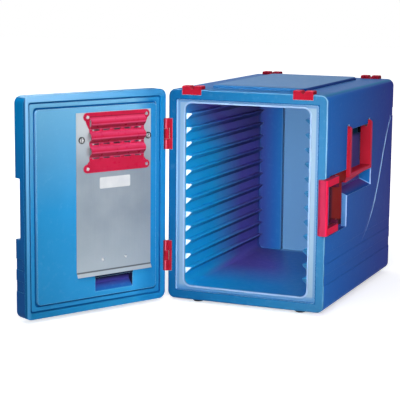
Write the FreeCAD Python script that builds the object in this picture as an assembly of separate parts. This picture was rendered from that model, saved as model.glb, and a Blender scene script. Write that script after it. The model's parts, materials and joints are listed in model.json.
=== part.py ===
import FreeCAD, Part
import math
import os

# Front-loading heated food transport box: an insulated body with tray ledges, a side-hinged
# door that carries the heater, a swinging side clamp and two bail handles.
# Millimetres. X to the right, Y to the back, Z up. The origin lies on the floor, under the
# middle of the body. Lengths called "back" are measured behind the body's front face,
# "up" above the body's underside, and "in" from the door's hinge edge towards its free edge.

V = FreeCAD.Vector

# Body
BODY_W = 438.0
BODY_D = 622.0
BODY_H = 561.0
SHELL_WALL = 4.0
EDGE_R = 5.0
CORNER_R = 19.0
RIM_SIDE = 24.0
RIM_TOP = 27.0
RIM_BOTTOM = 25.0
SEAL_RECESS = 8.0
LINER_WALL = 3.0
FLANGE_SIDE = 23.0
FLANGE_TOP = 9.0
FLANGE_BOTTOM = 13.0
RIM_CORNER_R = 5.0
CAVITY_CORNER_R = 18.0
BACK_INSULATION = 56.0
BACK_CHANNEL_W = 196.0
BACK_CHANNEL_T = 8.0
TOP_PANEL_W = 262.0
TOP_PANEL_D = 480.0
TOP_PANEL_H = 8.0
TOP_PANEL_R = 24.0
TOP_PANEL_EDGE_R = 5.0
CREASE_W = 16.0
CREASE_T = 2.2
CREASE_UPS = (449.0, 381.0, 206.0, 130.0)
CREASE_FROM_BACK = (25.0, 76.0, 186.0, 283.0)
CREASE_HIGH_SLOPE = 0.9
CREASE_LOW_SLOPE = 0.6
BAND_FIRST_UP = 70.0
BAND_PITCH = 56.0
BAND_COUNT = 2
BAND_H = 28.0
BAND_T = 1.2
STRAP_NOTCH_UPS = (71.0, 456.0)
STRAP_NOTCH_H = 24.0
STRAP_NOTCH_T = 2.2
STRAP_NOTCH_REACH = 14.0

# Tray ledges
LEDGE_PITCH = 37.5
LEDGE_FIRST_UP = 47.0
LEDGE_REACH = 15.0
LEDGE_TIP_T = 3.0
LEDGE_ROOT_T = 17.0
LEDGE_FRONT_GAP = 12.0
LEDGE_BACK_GAP = 16.0
LEDGE_HEADROOM = 20.0

# Seal
SEAL_BASE_T = 2.0
SEAL_BEAD_W = 4.0
SEAL_CLEARANCE = 0.5
SEAL_SIDE_GAP = 1.0

# Feet and stacking lugs
FOOT_R = 14.0
FOOT_H = 10.0
FOOT_CHAMFER = 2.0
FOOT_STEM_R = 5.0
FOOT_X = 145.0
FOOT_INSET = 38.0
LUG_X = 153.0
LUG_W = 54.0
LUG_D = 27.0
LUG_H = 9.5
LUG_LET_IN = 6.0
LUG_SKIRT = 14.0
LUG_NOTCH_W = 5.0
LUG_NOTCH_FLARE = 4.0
LUG_NOTCH_T = 8.0
LUG_EDGE_R = 3.0

# Door
DOOR_T = 43.0
DOOR_GAP = 2.0
DOOR_OPEN_DEG = 118.0
DOOR_LIP = 16.0
DOOR_LIP_STEP = 2.0
DOOR_SKIN = 4.0
DOOR_BAND_T = 2.2
PANEL_SKIN = 5.0
LIP_GROOVE_W = 4.5
GROOVE_IN = 30.0
GROOVE_W = 5.0
GROOVE_T = 3.6
PLUG_RISE = 4.0
LIP_CORNER_R = 6.0
PLUG_CORNER_R = 10.0
NOTCH_SPARE = 6.0
NOTCH_REACH = 36.0
SHELF_T = 19.0

# Hinges
HINGE_OUT = 3.5
LOWER_HINGE_UP = 115.0
UPPER_HINGE_DROP = 119.0
HINGE_H = 82.0
HINGE_LEAF_T = 14.0
BODY_LEAF_W = 12.0
DOOR_LEAF_W = 6.5
KNUCKLE_R = 6.5
KNUCKLE_MIDDLE_H = 26.0
KNUCKLE_GAP = 1.0
KNUCKLE_CLEARANCE = 0.7
HINGE_RECESS = 3.0
HINGE_PIN_R = 3.0
RUNNING_CLEARANCE = 0.05

# Side clamp
CLAMP_POCKET_FRONT = 28.0
CLAMP_POCKET_BACK = 184.0
CLAMP_POCKET_BELOW = 11.0
CLAMP_POCKET_ABOVE = 2.0
CLAMP_POCKET_T = 14.0
CLAMP_LOW = 209.0
CLAMP_HIGH = 351.0
CLAMP_ARM_H = 18.0
CLAMP_T = 13.6
CLAMP_WALL_GAP = 1.2
CLAMP_PIVOT_BACK = 62.0
CLAMP_HOOK_T = 15.5
CLAMP_HOOK_GAP = 1.5
CLAMP_HOOK_REACH = 10.0
CLAMP_LEAD = 8.0
CLAMP_EDGE_R = 6.0
CLAMP_PIN_R = 4.0
CLAMP_LUG_H = 10.0
CLAMP_LUG_GAP = 1.0
CLAMP_BASE_T = 6.0
CLAMP_BASE_BACK = 61.0
CLAMP_STRAP_H = 24.0
CLAMP_STRAP_SET_BACK = 1.0
CLAMP_BASE_MARGIN = 2.0

# Bail handles
HANDLE_FRONT = 175.0
HANDLE_LENGTH = 202.0
HANDLE_ARM_T = 12.0
HANDLE_ARM_W = 30.0
HANDLE_PROUD = 9.0
HANDLE_PIVOT_UP = 451.0
HANDLE_GRIP_H = 12.0
HANDLE_GRIP_DROP = 134.0
HANDLE_GRIP_R = 4.0
HANDLE_RIB_H = 14.0
HANDLE_RIB_END_H = 2.0
HANDLE_RIB_SET_BACK = 11.0
HANDLE_EAR_UP = 15.0
HANDLE_EAR_R = 9.0
HANDLE_PIN_R = 4.0
HANDLE_PIN_SEAT = 8.0
HANDLE_SIDE_GAP = 3.0
HANDLE_EAR_GAP = 4.0
HAND_POCKET_T = 35.0
HAND_POCKET_LOW = 281.0
HAND_POCKET_HIGH = 456.0
HAND_POCKET_SLOPE = 15.0
SCOOP_HIGH = 345.0
SCOOP_FRONT_WIDER = 47.0
SCOOP_BACK_HIGH = 428.0
SCOOP_BACK_WIDER = 26.0

# Heater on the door
PLATE_IN = 53.5
PLATE_W = 233.0
PLATE_LOW = 91.0
PLATE_DROP = 49.0
PLATE_T = 1.5
PLATE_LIP_H = 13.0
PLATE_LIP_OUT = 6.0
TRAY_MARGIN_SIDE = 20.0
TRAY_MARGIN_END = 18.0
TRAY_T = 24.0
TRAY_WALL = 1.2
COVER_IN = 77.0
COVER_W = 170.0
COVER_DROP = 0.5
COVER_FLANGE_H = 36.5
COVER_T = 1.8
COVER_WAVE = 36.0
COVER_WAVES = 3
COVER_DEPTH = 12.0
COVER_TOP_FLANGE_H = 9.0
COVER_TAB_OUT = 14.0
COVER_TAB_H = 22.0
SLOT_COUNT = 5
SLOT_PITCH = 33.0
SLOT_L = 21.0
SLOT_H = 3.6
SCREW_R = 2.0
SCREW_HEAD_R = 4.2
SCREW_HEAD_H = 2.4
SCREW_SHANK = 5.0
ELEMENT_R = 3.2
ELEMENT_RUNS = 4
ELEMENT_PITCH = 25.0
ELEMENT_SIDE_GAP = 6.0
ELEMENT_ABOVE_FLOOR = 11.0
ELEMENT_TAIL = 96.0
BLOCK_W = 50.0
BLOCK_H = 18.0
BLOCK_T = 16.0
THERMOSTAT_R = 13.0
THERMOSTAT_H = 9.0
THERMOSTAT_EDGE_R = 2.2
SUPPORT_W = 8.0
LOCK_HINGE_INSET = 9.5
LOCK_FREE_INSET = 15.5
LOCK_DROP = 69.0
LOCK_HEAD_R = 9.0
LOCK_HEAD_H = 2.5
LOCK_WING_W = 4.0
LOCK_WING_L = 16.0
LOCK_WING_H = 3.0
LOCK_SHANK_R = 3.0
RIVET_R = 2.0
RIVET_HEAD_R = 4.0
RIVET_HEAD_H = 1.6
RIVET_DOME_R = 1.3
RIVET_UP = 130.0
RIVET_SPACING = 73.0
RIVET_TAB_H = 30.0
GRIP_POCKET_IN = 110.0
GRIP_POCKET_W = 119.0
GRIP_POCKET_LOW = 47.0
GRIP_POCKET_H = 37.0
GRIP_POCKET_T = 18.0
INLET_W = 30.0
INLET_H = 22.0
INLET_T = 17.0
INLET_WALL = 3.0
INLET_FLANGE = 8.0
INLET_FLANGE_T = 3.0
INLET_PIN_R = 2.0
INLET_PIN_L = 10.0
INLET_PIN_SPACING = 7.0
LEAD_R = 1.8
ELEMENT_TAIL_SPREAD = 12.5

# Places that follow from the sizes
HALF_W = BODY_W / 2
FRONT = -BODY_D / 2
BACK = BODY_D / 2
BASE = FOOT_H
TOP = BASE + BODY_H
RIM_X = HALF_W - RIM_SIDE
RIM_LOW = BASE + RIM_BOTTOM
RIM_HIGH = TOP - RIM_TOP
CAVITY_X = RIM_X - FLANGE_SIDE
CAVITY_LOW = RIM_LOW + FLANGE_BOTTOM
CAVITY_HIGH = RIM_HIGH - FLANGE_TOP
FLANGE_Y = FRONT + SEAL_RECESS
CAVITY_BACK = BACK - BACK_INSULATION
DOOR_INNER = FRONT - DOOR_GAP
DOOR_OUTER = DOOR_INNER - DOOR_T
PLUG_FACE = DOOR_INNER + PLUG_RISE
PLUG_INSET = GROOVE_IN + GROOVE_W
HINGE_X = -HALF_W - HINGE_OUT
HINGE_Y = FRONT - DOOR_GAP / 2
PLATE_FACE = PLUG_FACE + PLATE_T
TRAY_FLOOR = PLUG_FACE - TRAY_T
DOOR_FACE_T = DOOR_LIP_STEP + PANEL_SKIN
HINGE_UPS = (LOWER_HINGE_UP, BODY_H - UPPER_HINGE_DROP)
PLATE_H = BODY_H - PLATE_DROP - PLATE_LOW
COVER_H = COVER_FLANGE_H + COVER_WAVES * COVER_WAVE + COVER_TOP_FLANGE_H
COVER_LOW = PLATE_LOW + PLATE_H - COVER_DROP - COVER_H
LOCK_UP = PLATE_LOW + PLATE_H - LOCK_DROP
CLAMP_POCKET_LOW = CLAMP_LOW - CLAMP_POCKET_BELOW
CLAMP_POCKET_HIGH = CLAMP_HIGH + CLAMP_POCKET_ABOVE
NOTCH_LOW = CLAMP_LOW - NOTCH_SPARE
NOTCH_HIGH = CLAMP_HIGH + NOTCH_SPARE

# How far an empty form runs past the face that it opens
PAST = 1.0
FAR_PAST = 20.0
NEAR = 0.01


def box(x0, x1, y0, y1, z0, z1):
    return Part.makeBox(x1 - x0, y1 - y0, z1 - z0, V(x0, y0, z0))


def rounded(shape, radius, direction=None):
    """Rounds the straight edges along one direction, or all edges."""
    edges = shape.Edges
    if direction is not None:
        edges = [e for e in edges if abs(e.tangentAt(e.FirstParameter).dot(direction)) > 0.999]
    return shape.makeFillet(radius, edges)


def prism_along_x(points, x0, x1):
    """A flat outline of (y, z) points, drawn out from x0 to x1."""
    wire = Part.makePolygon([V(x0, y, z) for y, z in points + points[:1]])
    return Part.Face(wire).extrude(V(x1 - x0, 0, 0))


def prism_along_y(points, y0, y1):
    """A flat outline of (x, z) points, drawn out from y0 to y1."""
    wire = Part.makePolygon([V(x, y0, z) for x, z in points + points[:1]])
    return Part.Face(wire).extrude(V(0, y1 - y0, 0))


def mirrored(shape):
    return shape.mirror(V(0, 0, 0), V(1, 0, 0))


def fused(shapes):
    return shapes[0].multiFuse(shapes[1:]).removeSplitter()


def opened(shape):
    """Turns a piece drawn on the closed door to the open pose."""
    turned = shape.copy()
    turned.rotate(V(HINGE_X, HINGE_Y, 0), V(0, 0, 1), -DOOR_OPEN_DEG)
    return turned


# Pockets in the body's walls, each drawn as an empty form that can be grown by a wall


def past(grow):
    return 0.0 if grow else PAST


def handle_pocket(grow):
    outside = HALF_W + past(grow)
    deep = HALF_W - HAND_POCKET_T - grow
    front = FRONT + HANDLE_FRONT - HANDLE_SIDE_GAP - grow
    back = FRONT + HANDLE_FRONT + HANDLE_LENGTH + HANDLE_SIDE_GAP + grow
    low = BASE + HAND_POCKET_LOW - grow
    forms = []
    for y0, y1, up in (
        (front, back, HAND_POCKET_HIGH),
        (front - SCOOP_FRONT_WIDER, back, SCOOP_HIGH),
        (front, back + SCOOP_BACK_WIDER, SCOOP_BACK_HIGH),
    ):
        high = BASE + up + grow
        outline = [(outside, low), (deep, low + HAND_POCKET_SLOPE), (deep, high), (outside, high)]
        forms.append(prism_along_y(outline, y0, y1))
    ear_top = BASE + HANDLE_PIVOT_UP + HANDLE_ARM_W / 2 + HANDLE_EAR_GAP + grow
    ear_deep = HALF_W + HANDLE_PROUD - HANDLE_ARM_W - HANDLE_SIDE_GAP - grow
    ear_w = HANDLE_ARM_T + 2 * HANDLE_SIDE_GAP + 2 * grow
    for y in (front, back - ear_w):
        forms.append(box(ear_deep, outside, y, y + ear_w, BASE + SCOOP_HIGH, ear_top))
    return fused(forms)


def clamp_pocket(grow):
    return box(
        HALF_W - CLAMP_POCKET_T - grow,
        HALF_W + past(grow),
        FRONT + CLAMP_POCKET_FRONT - grow,
        FRONT + CLAMP_POCKET_BACK + grow,
        BASE + CLAMP_POCKET_LOW - grow,
        BASE + CLAMP_POCKET_HIGH + grow,
    )


def body_hinge_seat(up, grow):
    spare = past(grow)
    return box(
        -HALF_W - spare,
        -HALF_W + BODY_LEAF_W + grow,
        FRONT - spare,
        FRONT + HINGE_LEAF_T + grow,
        BASE + up - HINGE_H / 2 - grow,
        BASE + up + HINGE_H / 2 + grow,
    )


def lug_form(x, front, grow, spare):
    """The L-shaped seat of a stacking lug over the front or back top edge."""
    face = FRONT if front else BACK
    inward = 1 if front else -1
    half = LUG_W / 2 + grow
    forms = []
    for reach, drop in ((LUG_D, LUG_LET_IN), (LUG_LET_IN, LUG_SKIRT)):
        y0, y1 = sorted((face - inward * spare, face + inward * (reach + grow)))
        forms.append(box(x - half, x + half, y0, y1, TOP - drop - grow, TOP + spare))
    return fused(forms)


LUG_PLACES = [(x, front) for front in (True, False) for x in (-LUG_X, LUG_X)]
FOOT_PLACES = [(x, y) for y in (FRONT + FOOT_INSET, BACK - FOOT_INSET) for x in (-FOOT_X, FOOT_X)]


def cut_all(shape, tools):
    for tool in tools:
        shape = shape.cut(tool)
    return shape


def top_panel(grow):
    panel = box(
        -TOP_PANEL_W / 2 + grow,
        TOP_PANEL_W / 2 - grow,
        -TOP_PANEL_D / 2 + grow,
        TOP_PANEL_D / 2 - grow,
        TOP - 2 * SHELL_WALL,
        TOP + TOP_PANEL_H - grow,
    )
    return rounded(panel, TOP_PANEL_R - grow, V(0, 0, 1))


def body_block(inset):
    """The body's plain block, with wide corners seen from the front and small edges around."""
    w = inset
    block = box(-HALF_W + w, HALF_W - w, FRONT + w, BACK - w, BASE + w, TOP - w)
    block = rounded(block, CORNER_R - w, V(0, 1, 0))
    ends = [e for e in block.Edges if e.BoundBox.YLength < NEAR]
    return block.makeFillet(EDGE_R - w, ends)


def outer_form():
    panel = top_panel(0)
    rim = [e for e in panel.Edges if e.BoundBox.ZMin > TOP + TOP_PANEL_H - NEAR]
    return body_block(0).fuse(panel.makeFillet(TOP_PANEL_EDGE_R, rim))


def inner_form():
    return body_block(SHELL_WALL).fuse(top_panel(SHELL_WALL))


def rim_opening(y0, y1, grow):
    frame = box(-RIM_X - grow, RIM_X + grow, y0, y1, RIM_LOW - grow, RIM_HIGH + grow)
    return rounded(frame, RIM_CORNER_R + grow, V(0, 1, 0))


def cavity_form(grow, front):
    half = CAVITY_X + grow
    low = CAVITY_LOW - grow
    high = CAVITY_HIGH + grow
    room = box(-half, half, front, CAVITY_BACK + grow, low, high)
    room = rounded(room, CAVITY_CORNER_R + grow, V(0, 1, 0))
    channel = box(
        -BACK_CHANNEL_W / 2 - grow,
        BACK_CHANNEL_W / 2 + grow,
        CAVITY_BACK - LINER_WALL,
        CAVITY_BACK + BACK_CHANNEL_T + grow,
        low,
        high,
    )
    return room.fuse(channel).removeSplitter()


def body_pockets(grow):
    pockets = [handle_pocket(grow), mirrored(handle_pocket(grow)), clamp_pocket(grow)]
    pockets += [body_hinge_seat(up, grow) for up in HINGE_UPS]
    spare = 0.0 if grow else FAR_PAST
    pockets += [lug_form(x, front, grow, spare) for x, front in LUG_PLACES]
    return pockets


def handle_pins():
    x = HALF_W + HANDLE_PROUD - HANDLE_ARM_W / 2
    z = BASE + HANDLE_PIVOT_UP
    length = HANDLE_PIN_SEAT + HANDLE_SIDE_GAP + HANDLE_ARM_T
    front = FRONT + HANDLE_FRONT - HANDLE_SIDE_GAP - HANDLE_PIN_SEAT
    back = FRONT + HANDLE_FRONT + HANDLE_LENGTH - HANDLE_ARM_T
    return [Part.makeCylinder(HANDLE_PIN_R, length, V(x, y, z), V(0, 1, 0)) for y in (front, back)]


def crease_groove():
    """The S-shaped crease in a side wall: a dip that ends in a small step facing up and forward."""
    points = [V(HALF_W, BACK - b, BASE + up) for b, up in zip(CREASE_FROM_BACK, CREASE_UPS)]
    first = V(0, -1, -CREASE_HIGH_SLOPE)
    last = V(0, -1, -CREASE_LOW_SLOPE)
    curve = Part.BSplineCurve()
    curve.interpolate(Points=points, InitialTangent=first, FinalTangent=last)
    forward = V(0, first.z, -first.y).normalize()
    reach = CREASE_W * (CREASE_T + PAST) / CREASE_T
    step_top = points[0] + V(PAST, 0, 0)
    corners = [step_top, points[0] - V(CREASE_T, 0, 0), step_top + forward * reach, step_top]
    return Part.Wire(curve.toShape()).makePipeShell([Part.makePolygon(corners)], True, False)


def band_spans():
    lows = [BASE + BAND_FIRST_UP + i * BAND_PITCH for i in range(BAND_COUNT)]
    return [(low, low + BAND_H) for low in lows]


def wall_marks():
    """What is pressed into the right side wall: the crease, two shallow bands and strap notches."""
    marks = [crease_groove()]
    for low, high in band_spans():
        marks.append(box(HALF_W - BAND_T, HALF_W + PAST, FRONT, BACK, low, high))
    for up in STRAP_NOTCH_UPS:
        low = BASE + up
        x = HALF_W - STRAP_NOTCH_T
        marks.append(
            box(x, HALF_W + PAST, BACK - STRAP_NOTCH_REACH, BACK + PAST, low, low + STRAP_NOTCH_H)
        )
    return marks


def outer_shell():
    form = outer_form()
    shell = form.cut(inner_form())
    lip = rim_opening(FRONT + SHELL_WALL / 2, FLANGE_Y + LINER_WALL, LINER_WALL)
    shell = shell.fuse(lip)
    for room in body_pockets(SHELL_WALL):
        shell = shell.fuse(room.common(form))
    tools = [rim_opening(FRONT - PAST, FLANGE_Y + LINER_WALL + PAST, 0)] + body_pockets(0)
    tools += [
        Part.makeCylinder(FOOT_STEM_R, SHELL_WALL, V(x, y, BASE), V(0, 0, 1)) for x, y in FOOT_PLACES
    ]
    for tool in handle_pins() + wall_marks():
        tools += [tool, mirrored(tool)]
    return cut_all(shell, tools).removeSplitter()


def inner_liner():
    walls = cavity_form(LINER_WALL, FLANGE_Y)
    flange = rim_opening(FLANGE_Y, FLANGE_Y + LINER_WALL, 0)
    return walls.fuse(flange).cut(cavity_form(0, FLANGE_Y - PAST)).removeSplitter()


def insulation_core():
    core = inner_form().cut(cavity_form(LINER_WALL, FLANGE_Y))
    front = box(-HALF_W, HALF_W, FRONT, FLANGE_Y + LINER_WALL, BASE, TOP)
    core = core.cut(front)
    tools = body_pockets(SHELL_WALL) + handle_pins() + [mirrored(p) for p in handle_pins()]
    return cut_all(core, tools).removeSplitter()


def ledges(side):
    """One wall's tray ledges: flat on top, slanted below, each a separate rib."""
    wall = side * CAVITY_X
    tip = side * (CAVITY_X - LEDGE_REACH)
    room = CAVITY_HIGH - CAVITY_LOW - LEDGE_FIRST_UP - LEDGE_HEADROOM
    ribs = []
    for i in range(int(room / LEDGE_PITCH) + 1):
        top = CAVITY_LOW + LEDGE_FIRST_UP + i * LEDGE_PITCH
        outline = [(wall, top), (tip, top), (tip, top - LEDGE_TIP_T), (wall, top - LEDGE_ROOT_T)]
        ribs.append(prism_along_y(outline, FRONT + LEDGE_FRONT_GAP, CAVITY_BACK - LEDGE_BACK_GAP))
    return Part.makeCompound(ribs)


def door_seal():
    base = rim_opening(FLANGE_Y - SEAL_BASE_T, FLANGE_Y, -SEAL_SIDE_GAP)
    hole = cavity_form(0, FLANGE_Y - SEAL_RECESS)
    bead = box(
        -CAVITY_X - SEAL_BEAD_W,
        CAVITY_X + SEAL_BEAD_W,
        PLUG_FACE + SEAL_CLEARANCE,
        FLANGE_Y,
        CAVITY_LOW - SEAL_BEAD_W,
        CAVITY_HIGH + SEAL_BEAD_W,
    )
    bead = rounded(bead, CAVITY_CORNER_R + SEAL_BEAD_W, V(0, 1, 0))
    return base.fuse(bead).cut(hole).removeSplitter()


def stacking_lug(x, front):
    seat = lug_form(x, front, 0, 0)
    face = FRONT if front else BACK
    inward = 1 if front else -1
    ys = sorted((face, face + inward * LUG_D))
    raised = box(x - LUG_W / 2, x + LUG_W / 2, ys[0], ys[1], TOP - LUG_LET_IN / 2, TOP + LUG_H)
    crown = [e for e in raised.Edges if e.BoundBox.ZMin > TOP + LUG_H - NEAR]
    raised = raised.makeFillet(LUG_EDGE_R, crown)
    half = LUG_NOTCH_W / 2
    high = TOP + LUG_H
    outline = [
        (x - half, high - LUG_NOTCH_T),
        (x + half, high - LUG_NOTCH_T),
        (x + half + LUG_NOTCH_FLARE, high),
        (x - half - LUG_NOTCH_FLARE, high),
    ]
    notch = prism_along_y(outline, ys[0] - PAST, ys[1] + PAST)
    return seat.fuse(raised).cut(notch).removeSplitter()


def foot(x, y):
    pad = Part.makeCylinder(FOOT_R, FOOT_H, V(x, y, 0), V(0, 0, 1))
    sole = [e for e in pad.Edges if e.BoundBox.ZMax < NEAR]
    stem = Part.makeCylinder(FOOT_STEM_R, SHELL_WALL, V(x, y, FOOT_H), V(0, 0, 1))
    return pad.makeChamfer(FOOT_CHAMFER, sole).fuse(stem)


# Hinges


def knuckle(z0, z1, radius):
    return Part.makeCylinder(radius, z1 - z0, V(HINGE_X, HINGE_Y, z0), V(0, 0, 1))


def hinge_spans(up):
    low = BASE + up - HINGE_H / 2
    high = BASE + up + HINGE_H / 2
    mid_low = BASE + up - KNUCKLE_MIDDLE_H / 2
    mid_high = BASE + up + KNUCKLE_MIDDLE_H / 2
    return low, mid_low, mid_high, high


def hinge_web(z0, z1, towards_back):
    """The arm that joins a knuckle to its leaf."""
    near = DOOR_GAP / 2
    ys = sorted((HINGE_Y + towards_back * near, HINGE_Y + towards_back * KNUCKLE_R))
    return box(HINGE_X, -HALF_W + DOOR_LEAF_W / 2, ys[0], ys[1], z0, z1)


def body_hinge_leaf(up):
    low, mid_low, mid_high, high = hinge_spans(up)
    leaf = body_hinge_seat(up, 0).common(box(-HALF_W, HALF_W, FRONT, BACK, BASE, TOP))
    clear = knuckle(mid_low - KNUCKLE_GAP, mid_high + KNUCKLE_GAP, KNUCKLE_R + HINGE_RECESS)
    leaf = leaf.cut(clear)
    for z0, z1 in ((low, mid_low - KNUCKLE_GAP), (mid_high + KNUCKLE_GAP, high)):
        leaf = leaf.fuse(knuckle(z0, z1, KNUCKLE_R)).fuse(hinge_web(z0, z1, 1))
    return leaf.cut(knuckle(low - PAST, high + PAST, HINGE_PIN_R)).removeSplitter()


def door_hinge_seat(up, grow, spare):
    return box(
        -HALF_W - spare,
        -HALF_W + DOOR_LEAF_W + grow,
        DOOR_INNER - HINGE_LEAF_T - grow,
        DOOR_INNER + spare,
        BASE + up - HINGE_H / 2 - grow,
        BASE + up + HINGE_H / 2 + grow,
    )


def door_hinge_leaf(up):
    low, mid_low, mid_high, high = hinge_spans(up)
    leaf = door_hinge_seat(up, 0, 0)
    for z0, z1 in ((low - PAST, mid_low), (mid_high, high + PAST)):
        leaf = leaf.cut(knuckle(z0, z1, KNUCKLE_R + KNUCKLE_CLEARANCE))
    leaf = leaf.fuse(knuckle(mid_low, mid_high, KNUCKLE_R)).fuse(hinge_web(mid_low, mid_high, -1))
    bore = knuckle(low - PAST, high + PAST, HINGE_PIN_R + RUNNING_CLEARANCE)
    return leaf.cut(bore).removeSplitter()


def hinge_pins():
    pins = []
    for up in HINGE_UPS:
        low, mid_low, mid_high, high = hinge_spans(up)
        pins.append(knuckle(low, high, HINGE_PIN_R))
    return Part.makeCompound(pins)


# Door, drawn closed


def door_x(from_hinge_edge):
    return -HALF_W + from_hinge_edge


def clamp_notch(grow, spare):
    return box(
        HALF_W - NOTCH_REACH - grow,
        HALF_W + spare,
        DOOR_OUTER - spare,
        DOOR_INNER - SHELF_T + grow,
        BASE + NOTCH_LOW - grow,
        BASE + NOTCH_HIGH + grow,
    )


def inlet_centre():
    return door_x(PLATE_IN) + TRAY_MARGIN_SIDE + BLOCK_W, BASE + COVER_LOW - ELEMENT_TAIL / 2


def inlet_seat(spare):
    x, z = inlet_centre()
    forms = []
    for margin, depth in ((INLET_FLANGE, INLET_FLANGE_T), (0, INLET_T)):
        w = INLET_W / 2 + margin
        h = INLET_H / 2 + margin
        forms.append(box(x - w, x + w, DOOR_OUTER - spare, DOOR_OUTER + depth, z - h, z + h))
    return fused(forms)


def door_envelope():
    slab = door_slab(0, DOOR_OUTER, DOOR_INNER, CORNER_R)
    edges = [e for e in slab.Edges if e.BoundBox.YMax < DOOR_OUTER + NEAR]
    return slab.makeFillet(EDGE_R, edges)


def door_room():
    return door_slab(DOOR_SKIN, DOOR_OUTER + DOOR_SKIN, DOOR_INNER - DOOR_FACE_T, CORNER_R - DOOR_SKIN)


def door_bands():
    bands = []
    for low, high in band_spans():
        ring = box(-HALF_W - PAST, HALF_W + PAST, DOOR_OUTER - PAST, DOOR_INNER - DOOR_FACE_T, low, high)
        core = box(
            -HALF_W + DOOR_BAND_T,
            HALF_W - DOOR_BAND_T,
            DOOR_OUTER + DOOR_BAND_T,
            DOOR_INNER,
            low,
            high,
        )
        bands.append(ring.cut(core))
    return bands


def door_outer_shell():
    form = door_envelope()
    shell = form.cut(door_room())
    rooms = [clamp_notch(DOOR_SKIN, 0)] + [door_hinge_seat(up, DOOR_SKIN, 0) for up in HINGE_UPS]
    for room in rooms:
        shell = shell.fuse(room.common(form))
    window = door_slab(DOOR_LIP, DOOR_INNER - DOOR_FACE_T - PAST, DOOR_INNER + PAST, LIP_CORNER_R)
    tools = [window, clamp_notch(0, FAR_PAST)] + door_bands()
    tools += [door_hinge_seat(up, 0, FAR_PAST) for up in HINGE_UPS]
    tools.append(inlet_seat(PAST))
    return cut_all(shell, tools).removeSplitter()


def door_slab(inset, y0, y1, radius):
    slab = box(-HALF_W + inset, HALF_W - inset, y0, y1, BASE + inset, TOP - inset)
    return rounded(slab, radius, V(0, 1, 0))


def grip_pocket(grow, mouth):
    """The finger recess under the heater plate, with a floor that falls evenly to its mouth."""
    high = BASE + GRIP_POCKET_LOW + GRIP_POCKET_H + grow
    deep = PLUG_FACE - GRIP_POCKET_T - grow
    floor = BASE + GRIP_POCKET_LOW + GRIP_POCKET_T - grow
    outline = [(mouth, floor - (mouth - deep)), (deep, floor), (deep, high), (mouth, high)]
    x = door_x(GRIP_POCKET_IN)
    return prism_along_x(outline, x - grow, x + GRIP_POCKET_W + grow)


def tray_box(grow, y0, y1):
    x = door_x(PLATE_IN)
    low = BASE + PLATE_LOW + PLATE_LIP_H
    return box(
        x + TRAY_MARGIN_SIDE - grow,
        x + PLATE_W - TRAY_MARGIN_SIDE + grow,
        y0,
        y1,
        low + TRAY_MARGIN_END - grow,
        BASE + PLATE_LOW + PLATE_H - TRAY_MARGIN_END + grow,
    )


def lock_places():
    left = door_x(PLATE_IN) + LOCK_HINGE_INSET
    right = door_x(PLATE_IN) + PLATE_W - LOCK_FREE_INSET
    return left, right


def lock_shank(x, radius):
    length = PLATE_T + DOOR_SKIN
    return Part.makeCylinder(radius, length, V(x, PLATE_FACE - length, BASE + LOCK_UP), V(0, 1, 0))


def plug_hollow():
    back = DOOR_INNER - DOOR_FACE_T - PAST
    return door_slab(PLUG_INSET + DOOR_SKIN, back, PLUG_FACE - DOOR_SKIN, PLUG_CORNER_R - DOOR_SKIN)


def door_inner_panel():
    face = DOOR_INNER - DOOR_LIP_STEP
    back = DOOR_INNER - DOOR_FACE_T
    panel = door_slab(DOOR_LIP, back, face - GROOVE_T, LIP_CORNER_R)
    band = door_slab(DOOR_LIP + LIP_GROOVE_W, back, face, LIP_CORNER_R)
    groove = door_slab(GROOVE_IN, face - GROOVE_T, face + PAST, PLUG_CORNER_R)
    plug = door_slab(PLUG_INSET, back, PLUG_FACE, PLUG_CORNER_R)
    panel = panel.fuse(band).cut(groove).fuse(plug).cut(plug_hollow())
    panel = panel.fuse(grip_pocket(DOOR_SKIN, PLUG_FACE - DOOR_SKIN))
    tools = [grip_pocket(0, PLUG_FACE + PAST), tray_box(0, TRAY_FLOOR, PLUG_FACE + PAST)]
    tools += [lock_shank(x, LOCK_SHANK_R + RUNNING_CLEARANCE) for x in lock_places()]
    tools += [along_y(x, PLUG_FACE - DOOR_SKIN, PLUG_FACE + PAST, z, SCREW_R) for x, z in screw_places()]
    return cut_all(panel, tools).removeSplitter()


def cover_wave_low():
    return BASE + COVER_LOW + COVER_FLANGE_H


def cover_wave_high():
    return cover_wave_low() + COVER_WAVES * COVER_WAVE


def screw_places():
    left = door_x(COVER_IN) - COVER_TAB_OUT / 2
    right = door_x(COVER_IN) + COVER_W + COVER_TAB_OUT / 2
    low = BASE + COVER_LOW + COVER_TAB_H / 2
    high = cover_wave_high() + COVER_TOP_FLANGE_H - COVER_TAB_H / 2
    return [(x, z) for z in (low, high) for x in (left, right)]


def rivet_places():
    middle = door_x(PLATE_IN) + PLATE_W / 2
    return [(middle + s * RIVET_SPACING / 2, BASE + RIVET_UP) for s in (-1, 1)]


def along_y(x, y0, y1, z, radius):
    return Part.makeCylinder(radius, y1 - y0, V(x, y0, z), V(0, 1, 0))


def lead_places():
    x, z = inlet_centre()
    return [(x + s * INLET_PIN_SPACING, z) for s in (-1, 0, 1)]


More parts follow.
